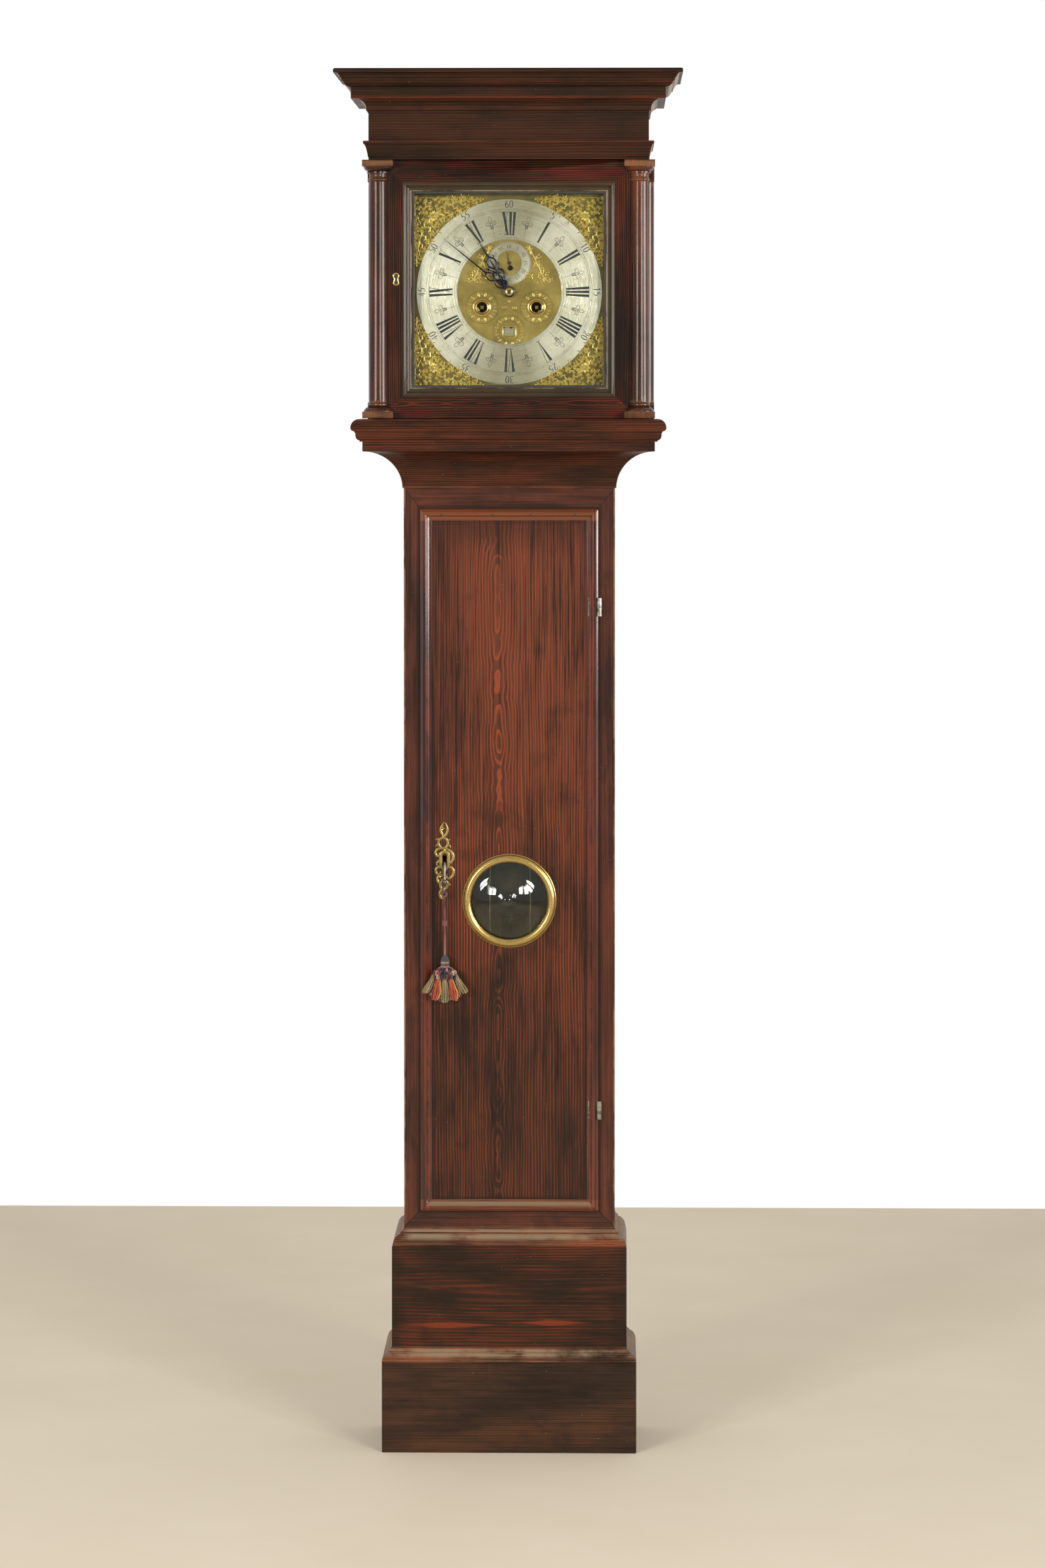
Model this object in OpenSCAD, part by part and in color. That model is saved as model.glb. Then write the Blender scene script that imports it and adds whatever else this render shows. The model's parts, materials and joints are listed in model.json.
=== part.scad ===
// Weight-driven longcase clock with an eight-day striking movement, in a stained softwood case.
// Front faces -Y, +Z is up, the floor is z = 0 and the backs of all boards are flush.

/* [Case heights] */
// Height of the plain skirt that stands on the floor
skirt_h = 140; // [110:1:170]
// Height of the moulding over the skirt
foot_mould_h = 22; // [18:1:28]
// Height of the plain part of the base box
base_h = 156; // [130:1:200]
// Height of the moulding between base and trunk
base_mould_h = 28; // [22:1:32]
// Height of the trunk that shows between base and throat
trunk_h = 1148; // [1120:1:1180]
// Height of the hollow throat moulding
throat_h = 57; // [50:1:62]
// Height of the flat band over the throat
band_h = 15; // [12:1:20]
// Height of the moulding that the hood stands on
hood_base_h = 35; // [30:1:40]
// Height of the moulding over the hood door
architrave_h = 28; // [24:1:32]
// Height of the plain frieze
frieze_h = 43; // [38:1:60]
// Height of the cornice
cornice_h = 65; // [60:1:72]

/* [Case widths and depths] */
// How far the band of the throat stands out past the trunk, at the front and at each side
throat_out = 61; // [58:0.5:64]
// Depth of the trunk over its backboard
trunk_d = 162; // [160:1:170]
// How far the base box stands out past the trunk
base_out = 18.5; // [16:0.5:21]
// How far the skirt stands out past the base box
skirt_out = 15; // [12:0.5:18]
// How far the band of the throat stands out past the hood sides
band_out = 13.5; // [12.5:0.5:15]
// How far the frieze stands out past the hood sides
frieze_out = 4; // [3:0.5:6]
// Projection of the cornice past the frieze
cornice_out = 51.5; // [48:0.5:56]
// Thickness of the trunk sides
side_t = 15; // [13:1:17]
// Thickness of the backboard
back_t = 13; // [10:1:15]
// Thickness of the trunk front frame and of its door
frame_t = 18; // [16:1:20]
// Thickness of the boards inside the mouldings
board_t = 18; // [16:1:20]
// Thickness of the hood sides
hood_side_t = 14; // [12:1:16]
// How far the hood sides stand out past the axes of the columns
hood_side_out = 10; // [9:0.5:11]

/* [Trunk door] */
// Width of the trunk front at each side of the door opening
stile_w = 33; // [31:0.5:38]
// Height of the trunk front left showing under the door moulding
rail_low = 25; // [20:1:32]
// Height of the trunk front left showing over the door moulding
rail_high = 32; // [26:1:40]
// Width that the door moulding laps over the frame
lip_lap = 8; // [6:0.5:9]
// Width of the door moulding
lip_w = 18.5; // [16:0.5:22]
// Thickness of the door moulding
lip_t = 9.5; // [8:0.5:11]
// Gap all round the door board
door_gap = 1; // [0.8:0.1:1.5]
// Height of the lenticle centre above the floor
lenticle_z = 854; // [840:1:880]
// Outer diameter of the lenticle ring
lenticle_od = 146; // [140:1:150]
// Inner diameter of the lenticle ring
lenticle_id = 121; // [115:1:125]
// Height of the keyhole above the floor
keyhole_z = 921; // [915:1:930]
// Distance of the keyhole from the edge of the door opening
keyhole_in = 30; // [29:0.5:33]
// Height of the lower hinge above the floor
hinge_low_z = 529; // [480:1:600]
// Height of the upper hinge above the floor
hinge_high_z = 1310; // [1250:1:1380]
// Length of each hinge
hinge_len = 28; // [24:1:36]

/* [Hood door] */
// Thickness of the hood door
hood_door_t = 20; // [18:1:22]
// Height of the rail under the glass with its moulding
sight_low = 47; // [44:1:50]
// Height of the rail over the glass with its moulding
sight_high = 47; // [44:1:50]
// Width of the glass moulding
bead_w = 14.5; // [12:0.5:16]
// Height that the glass moulding stands proud of the door
bead_t = 4; // [3:0.5:6]
// Distance of each column axis from the glass moulding
column_out = 37; // [36:0.5:39]
// Shaft radius at the bottom of a column
shaft_r = 14.2; // [13.8:0.2:14.6]
// Side of the square base block and capital of a column
block_w = 47; // [45:0.5:47.5]
// Gap between the door and the mouldings under and over it
bay_gap = 1; // [0.8:0.1:1.4]

/* [Dial] */
// Side of the square dial plate
dial_w = 305; // [300:1:320]
// Width of the dial plate that the hood door covers at each side
dial_lap = 3; // [2:0.5:5]
// Width of the dial plate that the hood door covers at the top, and at the bottom
dial_lap_z = 1.5; // [1:0.5:4]
// How far the dial centre lies below the middle of the glass
dial_low = 3; // [0:0.5:4]
// Thickness of the dial plate
dial_t = 2.5; // [2:0.5:3]
// Width of the dial plate left outside the hour ring
ring_border = 9.5; // [8.5:0.5:13]
// Inner diameter of the hour ring
ring_id = 161; // [158:1:165]
// Height of the seconds arbor over the centre
sec_rise = 44.6; // [44:0.1:45.4]
// Outer diameter of the seconds ring
sec_od = 66.8; // [64:0.2:68]
// Inner diameter of the seconds ring
sec_id = 37.2; // [34:0.2:40]
// Distance of each winding arbor from the centre line
wind_x = 42.2; // [42:0.1:43]
// Distance of the winding arbors below the centre
wind_drop = 23.7; // [23:0.1:24.5]
// Radius of the winding holes
wind_hole_r = 7.75; // [7:0.25:8.5]
// Distance of the date opening below the centre
date_drop = 60.8; // [60:0.2:62]
// Length of the minute hand
minute_len = 131; // [120:1:135]
// Length of the hour hand
hour_len = 90; // [80:1:95]
// Minutes past the hour that the hands show
shown_minute = 51.5; // [0:0.5:59.5]
// Hour that the hands show
shown_hour = 10; // [0:1:11]

/* [Movement] */
// Distance between the two plates
plate_gap = 62; // [61:0.5:66]
// Thickness of each plate
plate_t = 3; // [2.5:0.5:3.5]
// Space between the front plate and the dial plate
dial_space = 26; // [25.5:0.5:28]
// Half the width of the plates
plate_half = 66; // [66:1:72]
// Height of the plates above the dial centre
plate_up = 90; // [89:1:98]
// Height of the plates below the dial centre
plate_down = 78; // [78:1:84]
// Radius of the two barrels
barrel_r = 26; // [25:0.5:26.5]
// Radius of a pivot
pivot_r = 1; // [0.8:0.1:1.1]
// Running clearance of every pivot, pin and pipe on its radius
fit = 0.05; // [0.03:0.01:0.08]

/* [Weights and pendulum] */
// Radius of each weight
weight_r = 28; // [24:1:30]
// Height of each weight
weight_h = 165; // [150:5:190]
// Height of the pulley centre above the floor when the weights are nearly down
pulley_z = 640; // [620:5:660]
// Radius of the groove of a pulley
pulley_r = 18; // [17:0.5:18.5]
// Radius of the gut line
line_r = 0.9; // [0.7:0.1:1.1]
// Distance from the bending point of the suspension to the bob centre
pendulum_len = 1000; // [990:1:1010]
// Radius of the bob
bob_r = 50; // [45:1:55]
// Thickness of the bob
bob_t = 30; // [26:1:34]

/* [Hidden] */
$fn = 48;

// Hairline left open in every mitre
mitre_gap = 0.1;
// Clearance between pieces that pass each other
run_gap = 0.3;

// Widths, worked out from the dial plate through the hood door down to the skirt
ring_od = dial_w - 2 * ring_border;
sight_w = dial_w - 2 * dial_lap;
sight_h = dial_w - 2 * dial_lap_z;
column_x = sight_w / 2 + bead_w + column_out;
hood_side_w = 2 * (column_x + hood_side_out);
frieze_w = hood_side_w + 2 * frieze_out;
band_w = hood_side_w + 2 * band_out;
trunk_w = band_w - 2 * throat_out;
base_w = trunk_w + 2 * base_out;
skirt_w = base_w + 2 * skirt_out;
door_open_w = trunk_w - 2 * stile_w;
keyhole_x = door_open_w / 2 - keyhole_in;
door_bay_h = 2 * bay_gap + sight_low + sight_h + sight_high;

// Heights of the case, from the floor up
z_foot = skirt_h;
z_base = z_foot + foot_mould_h;
z_base_top = z_base + base_h;
z_trunk = z_base_top + base_mould_h;
z_throat = z_trunk + trunk_h;
z_band = z_throat + throat_h;
z_hood = z_band + band_h;
z_bay = z_hood + hood_base_h;
z_arch = z_bay + door_bay_h;
z_frieze = z_arch + architrave_h;
z_cornice = z_frieze + frieze_h;
z_top = z_cornice + cornice_h;

// Depths: a part of width w stands out of the trunk front as far as it does at each side
cornice_w = frieze_w + 2 * cornice_out;
depth = trunk_d + (cornice_w - trunk_w) / 2;
y_back = depth / 2;
y_trunk = y_back - trunk_d;
function front_of(w) = y_trunk - (w - trunk_w) / 2;
y_board = y_back - back_t;
inner_x = trunk_w / 2 - side_t;
board_low = 6;

// Door of the hood, its columns and its pivots
col_y = front_of(band_w) + block_w / 2 + 0.5;
door_y = col_y;
door_back = door_y + hood_door_t;
hood_in = hood_side_w / 2 - hood_side_t;
pivot_in = 10.5;
pivot_x = column_x + block_w / 2 - pivot_in;
pivot_y = door_back - 8;
pivot_pin_r = 2.5;
z_door = z_bay + bay_gap;
z_door_top = z_arch - bay_gap;
mask_y = door_back + 1;
mask_t = 8;
hood_side_y = pivot_y + pivot_in + 1;

// Dial and movement planes, from front to back
z_dial = z_bay + bay_gap + sight_low + sight_h / 2 - dial_low;
dial_y = mask_y + mask_t + 3;
glass_t = 3;
glass_y = door_y + 9;
y_pf = dial_y + dial_t + dial_space;
y_in = y_pf + plate_t;
y_out = y_in + plate_gap;
y_pb = y_out + plate_t;
z_seat = z_dial - plate_down;
seat_t = 22;
anchor_rise = 26.9;
y_swing = y_pb + 21;
swing_z = z_dial + sec_rise + anchor_rise;
bob_z = swing_z - pendulum_len;

// Teeth of the trains
great_n = 96;
strike_great_n = 78;
centre_n = 60;
third_n = 56;
escape_n = 30;
pin_n = 60;
locking_n = 56;
warning_n = 48;
pinion_n = 8;
small_pinion_n = 7;
fly_pinion_n = 6;
cannon_n = 30;
hour_n = 72;
hour_pinion_n = 6;

// Arbor places seen from the front, as [x, height] from the dial centre
function polar(r, a) = [r * cos(a), r * sin(a)];
function angle_to(a, b) = atan2(b[1] - a[1], b[0] - a[0]);
going_p = [wind_x, -wind_drop];
strike_p = [-wind_x, -wind_drop];
centre_p = [0, 0];
escape_p = [0, sec_rise];
centre_third = 27.2;
third_escape = 22.7;
third_up = (sec_rise * sec_rise + centre_third * centre_third
    - third_escape * third_escape) / (2 * sec_rise);
third_p = [sqrt(centre_third * centre_third - third_up * third_up), third_up];
great_m = 2 * norm(going_p) / (great_n + pinion_n);
centre_m = 2 * centre_third / (centre_n + pinion_n);
third_m = 2 * third_escape / (third_n + small_pinion_n);
pin_p = strike_p + polar(great_m * (strike_great_n + pinion_n) / 2, 78);
pin_m = 0.8;
locking_p = pin_p + polar(pin_m * (pin_n + pinion_n) / 2, 75);
locking_m = 0.72;
warning_p = locking_p + polar(locking_m * (locking_n + small_pinion_n) / 2, 100);
warning_m = 0.66;
fly_p = warning_p + polar(warning_m * (warning_n + fly_pinion_n) / 2, 60);
motion_d = 34;
minute_stud_r = 1;
minute_p = polar(motion_d, -60);
hammer_p = [-62, 20];
anchor_p = [0, sec_rise + anchor_rise];

// Layers of the wheels behind the front plate
lay_great = 3;
lay_third = 10;
lay_locking = 22;
lay_escape = 36;
lay_centre = 45;
lay_warning = 48.5;
lay_pin = 52.5;
wheel_t = 2;

// Phase of wheel b so that its gap faces a tooth of wheel a across the line at angle t
function meshed(na, pa, t, nb) = t + 180 - (0.5 - (t - pa) * na / 360) * 360 / nb;
ph_centre_pinion = 0;
ph_going = meshed(pinion_n, ph_centre_pinion, angle_to(centre_p, going_p), great_n);
ph_centre = 0;
ph_third_pinion = meshed(centre_n, ph_centre, angle_to(centre_p, third_p), pinion_n);
ph_third = 0;
ph_escape_pinion = meshed(third_n, ph_third, angle_to(third_p, escape_p), small_pinion_n);
ph_strike = 0;
ph_pin_pinion = meshed(strike_great_n, ph_strike, angle_to(strike_p, pin_p), pinion_n);
ph_pin = 0;
ph_locking_pinion = meshed(pin_n, ph_pin, angle_to(pin_p, locking_p), pinion_n);
ph_locking = 0;
ph_warning_pinion = meshed(locking_n, ph_locking, angle_to(locking_p, warning_p), small_pinion_n);
ph_warning = 0;
ph_fly_pinion = meshed(warning_n, ph_warning, angle_to(warning_p, fly_p), fly_pinion_n);
ph_cannon = 0;
ph_minute = meshed(cannon_n, ph_cannon, angle_to(centre_p, minute_p), cannon_n);
ph_hour_pinion = 0;
ph_hour = meshed(hour_pinion_n, ph_hour_pinion, angle_to(minute_p, centre_p), hour_n);

// Hands, as angles counted clockwise from twelve
minute_deg = shown_minute * 6;
hour_deg = shown_hour * 30 + shown_minute / 2 + 3;
seconds_deg = 348;
hand_t = 1;
y_seconds = dial_y - 3.2;
y_hour = dial_y - 6.4;
y_minute = dial_y - 11;
hour_pipe_r = 7;
cannon_pipe_r = 4;
centre_arbor_r = 2;
seconds_arbor_r = 1.2;

// Weights and lines
line_out_x = wind_x + barrel_r;
pulley_x = line_out_x - pulley_r;
line_in_x = pulley_x - pulley_r;
line_y = y_in + 26;
weight_hang = 44;

// Key and tassel; the cord's points are chosen by hand, as [x, y, z]
key_top_z = 913;
key_len = 34;
key_lean = 14;
key_bow_r = 9;
cord_r = 2;
cord_route = [[-100.5, -44, 863.6], [-100.4, -45.6, 857], [-100.2, -46.9, 850], [-100, -47.7, 843],
    [-99.8, -48.1, 837], [-99.6, -48.2, 831], [-99.5, -48.2, 825], [-99.4, -48.3, 819],
    [-99.4, -48.3, 813], [-99.4, -48.3, 807], [-99.4, -48.3, 801], [-99.4, -48.3, 795],
    [-99.4, -48.3, 789], [-99.4, -48.3, 783], [-99.4, -48.3, 777], [-99.4, -48.3, 771]];
tassel_x = -99.4;
tassel_y = -48.3;
tassel_top = 771;
tassel_h = 76;

// Outlines of the mouldings, as [projection, height] from their wall and their foot
function arc(cx, cy, r, a0, a1, n = 8) =
    [for (i = [0:n]) [cx + r * cos(a0 + (a1 - a0) * i / n), cy + r * sin(a0 + (a1 - a0) * i / n)]];
function closed(pts, wall) = wall == 0 ? pts :
    concat([[-wall, pts[0][1]]], pts, [[-wall, pts[len(pts) - 1][1]]]);
// Lip, round, small step and hollow, for the tops of skirt and base
function ogee(out, h) = let (lip = 0.13 * h, r = 0.53 * h, cave = 0.28 * h, mid = out - 0.7 - r)
    concat([[0, 0], [out, 0], [out, lip]], arc(mid, lip, r, 4, 75),
        [[mid + 0.26 * r - 0.2, lip + r + 0.4]], arc(cave + 0.5, h, cave, 250, 180, 6), [[0, h]]);
throat_pts = concat([[0, 0], [2, 0]],
    arc((band_w - trunk_w) / 2 - 1, -1, throat_h + 1, 178, 90, 12),
    [[(band_w - trunk_w) / 2, throat_h], [(band_w - trunk_w) / 2, throat_h + band_h],
     [0, throat_h + band_h]]);
hood_base_pts = concat([[0, 0], [3.5, 0], [3.5, 1.5]], arc(3, 8, 6, 280, 340, 5),
    arc(15.5, 11, 6, 195, 120, 5), [[15, 17], [16.8, 20]],
    arc(16.8 - hood_base_h + 21.5, 21.5, hood_base_h - 21.5, 0, 90, 8), [[0, hood_base_h]]);
architrave_pts = [[0, 0], [0, 3], [1, 4], [1.5, 8], [2.1, 11], [2.9, 14.5], [3.9, 18], [5.2, 21.5],
    [6.2, architrave_h - 4.5], [8, architrave_h - 4], [8, architrave_h], [0, architrave_h]];
cornice_pts = concat([[0, 0], [1, 0], [1, 3]], arc(18, 6, 14.5, 190, 108, 8),
    [[13.6, 20.5], [25.7, 20.5], [26, 37.5]], arc(26, 49, 11.5, 270, 345, 6),
    [[39.5, 46.8], [39.5, 50]], arc(cornice_out - 1, 50, 9, 168, 110, 5),
    [[cornice_out, 58.5], [cornice_out, cornice_h - 2], [cornice_out - 2, cornice_h],
     [0, cornice_h]]);

// Round bar along Y between two depths, at x and height z
module bar_y(r, y0, y1, x = 0, z = 0) {
    translate([x, y1, z]) rotate([90, 0, 0]) cylinder(r = r, h = y1 - y0);
}
// Flat outline seen from the front, between two depths
module slab_y(y0, y1, x = 0, z = 0) {
    translate([x, y1, z]) rotate([90, 0, 0]) linear_extrude(y1 - y0) children();
}
// Board from a low to a high corner
module board(lo, hi) {
    translate(lo) cube([hi[0] - lo[0], hi[1] - lo[1], hi[2] - lo[2]]);
}
module both_sides() {
    children();
    mirror([1, 0, 0]) children();
}
// Three mitred strips of one outline: across the front and back along both sides
module mitred_strips(w, pts, wall, z0, h) {
    out = max([for (p = pts) p[0]]) + 2;
    yf = front_of(w);
    shape = closed(pts, wall);
    translate([0, 0, z0]) intersection() {
        translate([w, yf, 0]) rotate([90, 0, -90]) linear_extrude(2 * w) polygon(shape);
        translate([0, 0, -1]) linear_extrude(h + 2)
            polygon([[-w / 2 - out, yf - out], [w / 2 + out, yf - out],
                [w / 2 - wall - 1, yf + wall + 1], [-w / 2 + wall + 1, yf + wall + 1]]);
    }
    both_sides() translate([0, 0, z0]) intersection() {
        translate([w / 2, y_back, 0]) rotate([90, 0, 0])
            linear_extrude(y_back - yf + out) polygon(shape);
        translate([mitre_gap, 0, -1]) linear_extrude(h + 2)
            polygon([[w / 2 - wall - 1, yf + wall + 1], [w / 2 + out, yf - out],
                [w / 2 + out, y_back], [w / 2 - wall - 1, y_back]]);
    }
}
// Four mitred strips round an opening; the outline is [distance inwards, height proud]
module mitred_border(w, h, strip_w, pts, y0, zc) {
    for (turn = [0, 1, 2, 3]) {
        run = turn % 2 == 0 ? w : h;
        off = turn % 2 == 0 ? h / 2 : w / 2;
        translate([0, y0, zc]) rotate([0, turn * 90, 0]) intersection() {
            translate([run / 2 + 1, 0, off]) rotate([0, -90, 0]) rotate([0, 0, 180])
                linear_extrude(run + 2) polygon(pts);
            translate([0, 20, 0]) rotate([90, 0, 0]) linear_extrude(60)
                polygon([[-run / 2 + mitre_gap, off], [run / 2 - mitre_gap, off],
                    [run / 2 - strip_w - mitre_gap, off - strip_w],
                    [-run / 2 + strip_w + mitre_gap, off - strip_w]]);
        }
    }
}

// Case
module backboard() {
    color("#4a2c1c") {
        board([-trunk_w / 2, y_board, run_gap], [trunk_w / 2, y_back, z_hood]);
        board([-hood_in + 1, y_board, z_hood + run_gap], [hood_in - 1, y_back, z_frieze + 30]);
    }
}
module foot_skirt() {
    color("#3a2218")
        mitred_strips(skirt_w, [[0, 0], [0, skirt_h - 0.1]], board_t - 3, 0, skirt_h);
}
module foot_moulding() {
    out = (skirt_w - base_w) / 2;
    color("#6b4a36") mitred_strips(base_w, ogee(out, foot_mould_h), 0, z_foot, foot_mould_h);
}
module base_boards() {
    base_board_t = (base_w - trunk_w) / 2;
    color("#5a2c1a") {
        mitred_strips(base_w, [[0, 0], [0, z_base_top - board_low]], base_board_t - 0.05,
            board_low, z_base_top - board_low);
        board([-inner_x, y_trunk, z_foot - 20], [inner_x, y_board - 0.1, z_foot - 5]);
    }
}
module base_moulding() {
    out = (base_w - trunk_w) / 2 - 1;
    color("#6b4a36")
        mitred_strips(trunk_w, ogee(out, base_mould_h), 0, z_base_top, base_mould_h);
}
module trunk_sides() {
    color("#5a2c1a") both_sides()
        board([inner_x, y_trunk + frame_t, z_foot - 20], [trunk_w / 2, y_board, z_seat - seat_t]);
}
frame_in = door_open_w / 2;
z_open = z_trunk + rail_low + lip_lap;
z_open_top = z_throat - rail_high - lip_lap;
module trunk_frame() {
    half = trunk_w / 2;
    g = mitre_gap;
    color("#6e2f1c") difference() {
        union() {
            both_sides() slab_y(y_trunk, y_trunk + frame_t)
                polygon([[frame_in, z_open], [half, z_trunk], [half, z_throat],
                    [frame_in, z_open_top]]);
            slab_y(y_trunk, y_trunk + frame_t)
                polygon([[-frame_in - g, z_open - g], [frame_in + g, z_open - g],
                    [half, z_trunk - 2 * g], [half, z_trunk - 40], [-half, z_trunk - 40],
                    [-half, z_trunk - 2 * g]]);
            slab_y(y_trunk, y_trunk + frame_t)
                polygon([[-frame_in - g, z_open_top + g], [frame_in + g, z_open_top + g],
                    [half, z_throat + 2 * g], [half, z_throat + 46], [-half, z_throat + 46],
                    [-half, z_throat + 2 * g]]);
        }
        hinge_places() board([frame_in - 1, y_trunk - 1, -hinge_len / 2],
            [hinge_x + 2, y_trunk + leaf_t, hinge_len / 2]);
    }
}
module throat_moulding() {
    color("#6e2f1c") mitred_strips(trunk_w, throat_pts, 0, z_throat, throat_h + band_h);
}
module seatboard() {
    hook_r = 4;
    color("#8a6a48") difference() {
        board([-trunk_w / 2, y_pf - 6, z_seat - seat_t], [trunk_w / 2, y_pb + 8, z_seat]);
        both_sides() for (x = [line_in_x, line_out_x])
            translate([x, line_y, z_seat - seat_t - 1]) cylinder(r = hook_r, h = seat_t + 2);
    }
}

// Hinges of the trunk door
hinge_x = door_open_w / 2 + lip_lap + 0.5;
hinge_y = y_trunk - 5;
knuckle_r = 4.6;
hinge_pin_r = 2;
leaf_t = 1.5;
leaf_end = hinge_len / 6;
module hinge_places() {
    for (z = [hinge_low_z, hinge_high_z]) translate([0, 0, z]) children();
}
module case_hinge_leaves() {
    color("#8a6f3a") hinge_places() {
        board([frame_in + 0.5, y_trunk, -hinge_len / 2], [hinge_x + 2, y_trunk + leaf_t, hinge_len / 2]);
        translate([hinge_x, hinge_y, -hinge_len / 2]) cylinder(r = hinge_pin_r, h = hinge_len);
        for (s = [-1, 1]) translate([0, 0, s * hinge_len / 3]) {
            translate([hinge_x, hinge_y, -leaf_end]) cylinder(r = knuckle_r, h = 2 * leaf_end);
            board([hinge_x - 2, hinge_y + 3, -leaf_end], [hinge_x + 2, y_trunk + 1, leaf_end]);
        }
    }
}
module door_hinge_leaves() {
    color("#8a6f3a") hinge_places() difference() {
        union() {
            board([hinge_x - 17, y_trunk - leaf_t, -hinge_len / 2],
                [hinge_x - 6, y_trunk - 0.05, hinge_len / 2]);
            board([hinge_x - 7, y_trunk - leaf_t, -leaf_end + run_gap],
                [hinge_x, y_trunk - 0.05, leaf_end - run_gap]);
            translate([hinge_x, hinge_y, -leaf_end + run_gap])
                cylinder(r = knuckle_r, h = 2 * leaf_end - 2 * run_gap);
        }
        translate([hinge_x, hinge_y, -hinge_len])
            cylinder(r = hinge_pin_r + fit, h = 2 * hinge_len);
    }
}

// Trunk door
board_half = door_open_w / 2 - door_gap;
lip_half = door_open_w / 2 + lip_lap;
z_lip = z_trunk + rail_low;
z_lip_top = z_throat - rail_high;
lip_mid = (z_lip + z_lip_top) / 2;
lip_h = z_lip_top - z_lip;
glass_rebate = 5.5;
module trunk_door_board() {
    color("#7a3420") difference() {
        board([-board_half, y_trunk, z_open + door_gap],
            [board_half, y_trunk + frame_t, z_open_top - door_gap]);
        bar_y(lenticle_id / 2, y_trunk - 1, y_trunk + frame_t + 1, 0, lenticle_z);
        bar_y(lenticle_id / 2 + glass_rebate, y_trunk + 4, y_trunk + frame_t + 1, 0, lenticle_z);
        keyhole(y_trunk - 1, y_trunk + frame_t + 1);
    }
}
module keyhole(y0, y1) {
    bar_y(3.6, y0, y1, -keyhole_x, keyhole_z);
    board([-keyhole_x - 2.2, y0, keyhole_z - 15.5], [-keyhole_x + 2.2, y1, keyhole_z]);
}
lip_pts = concat([[0, 0], [0, 3]], arc(5, 3, 5, 180, 110, 6), [[5, lip_t]],
    arc(8, lip_t - 3, 3, 90, 30, 4), arc(17.6, lip_t - 1, 7.5, 190, 262, 6),
    [[lip_w, 1.5], [lip_w, 0]]);
module door_moulding() {
    color("#84452a") difference() {
        mitred_border(2 * lip_half, lip_h, lip_w, lip_pts, y_trunk, lip_mid);
        hinge_places() {
            board([hinge_x - 17.1, y_trunk - leaf_t - 0.05, -hinge_len / 2 - 0.1],
                [hinge_x + 1, y_trunk + 1, hinge_len / 2 + 0.1]);
            translate([hinge_x, hinge_y, -hinge_len / 2 - 0.4])
                cylinder(r = knuckle_r + 0.4, h = hinge_len + 0.8);
            board([hinge_x - 2.5, hinge_y, -hinge_len / 2 - 0.4],
                [hinge_x + 2.5, y_trunk + 1, hinge_len / 2 + 0.4]);
        }
    }
}
module lenticle_ring() {
    ring_r = (lenticle_od - lenticle_id) / 4;
    ring_mid = (lenticle_od + lenticle_id) / 4;
    back = y_trunk + 4 + 4;
    color("#b8983e") {
        translate([0, y_trunk, lenticle_z]) rotate([90, 0, 0]) rotate_extrude()
            intersection() {
                translate([ring_mid, 0]) circle(ring_r);
                translate([ring_mid - ring_r, 0]) square([2 * ring_r, ring_r]);
            }
        difference() {
            bar_y(lenticle_id / 2 + glass_rebate - 0.1, back, back + 3, 0, lenticle_z);
            bar_y(lenticle_id / 2, back - 1, back + 4, 0, lenticle_z);
        }
    }
}
module lenticle_glass() {
    y0 = y_trunk + 4;
    color([0.75, 0.82, 0.75, 0.4]) {
        bar_y(lenticle_id / 2 + glass_rebate - 0.1, y0, y0 + 4, 0, lenticle_z);
        translate([-4, y0, lenticle_z - 2]) difference() {
            translate([0, 8, 0]) sphere(12);
            translate([-20, 0, -20]) cube(40);
        }
    }
}
// Pierced scroll plate: each entry is [x from the keyhole, height from it, outer radius, hole radius]
scroll_rings = [[-2, 49, 4.5, 2], [-1, 40, 6.5, 3.6], [-2, 28, 10, 7.2], [-9, 12, 6, 3],
    [0, 13, 9.5, 0], [6, 4, 9.5, 6.8], [-3, 0, 10, 0], [0, -12, 8.5, 0], [-7, -20, 7.5, 4.6],
    [7, -18, 7, 4.4], [-6, -33, 6.5, 3.6], [4, -32, 6, 3.2], [-1, -44, 6.5, 4], [-4, -56, 5.5, 2.6]];
module trunk_escutcheon() {
    plate_t2 = 1.6;
    color("#b8983e") difference() {
        union() {
            for (s = scroll_rings)
                bar_y(s[2], y_trunk - plate_t2, y_trunk, -keyhole_x + s[0], keyhole_z + s[1]);
            slab_y(y_trunk - plate_t2, y_trunk, -keyhole_x - 2, keyhole_z + 49)
                polygon([[-2, 3], [3, 2], [5, 12]]);
        }
        for (s = scroll_rings) if (s[3] > 0)
            bar_y(s[3], y_trunk - 3, y_trunk + 1, -keyhole_x + s[0], keyhole_z + s[1]);
        keyhole(y_trunk - 3, y_trunk + 1);
    }
}
module trunk_lock() {
    lock_y = y_trunk + frame_t;
    color("#5c5850") difference() {
        union() {
            board([-board_half + 1, lock_y, keyhole_z - 34], [-keyhole_x + 14, lock_y + 12, keyhole_z + 28]);
            board([-board_half + 0.2, lock_y + 3, keyhole_z - 8], [-board_half + 2, lock_y + 8, keyhole_z + 8]);
        }
        keyhole(lock_y - 1, lock_y + 10);
    }
}

// Key and tassel
module trunk_key() {
    bow_z = -key_len - key_bow_r + 1.5;
    color("#8c8a84") translate([-keyhole_x, y_trunk - 4.5, key_top_z]) {
        rotate([-key_lean, 0, 0]) {
            translate([0, 0, -key_len]) cylinder(r = 2.5, h = key_len);
            sphere(2.5);
            translate([-1.5, 0, bow_z]) rotate([0, 90, 0]) difference() {
                cylinder(r = key_bow_r, h = 3);
                translate([0, 0, -1]) cylinder(r = key_bow_r - 3, h = 5);
            }
        }
        board([-1.5, 0, -7], [1.5, 17, 1.5]);
    }
}
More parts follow.
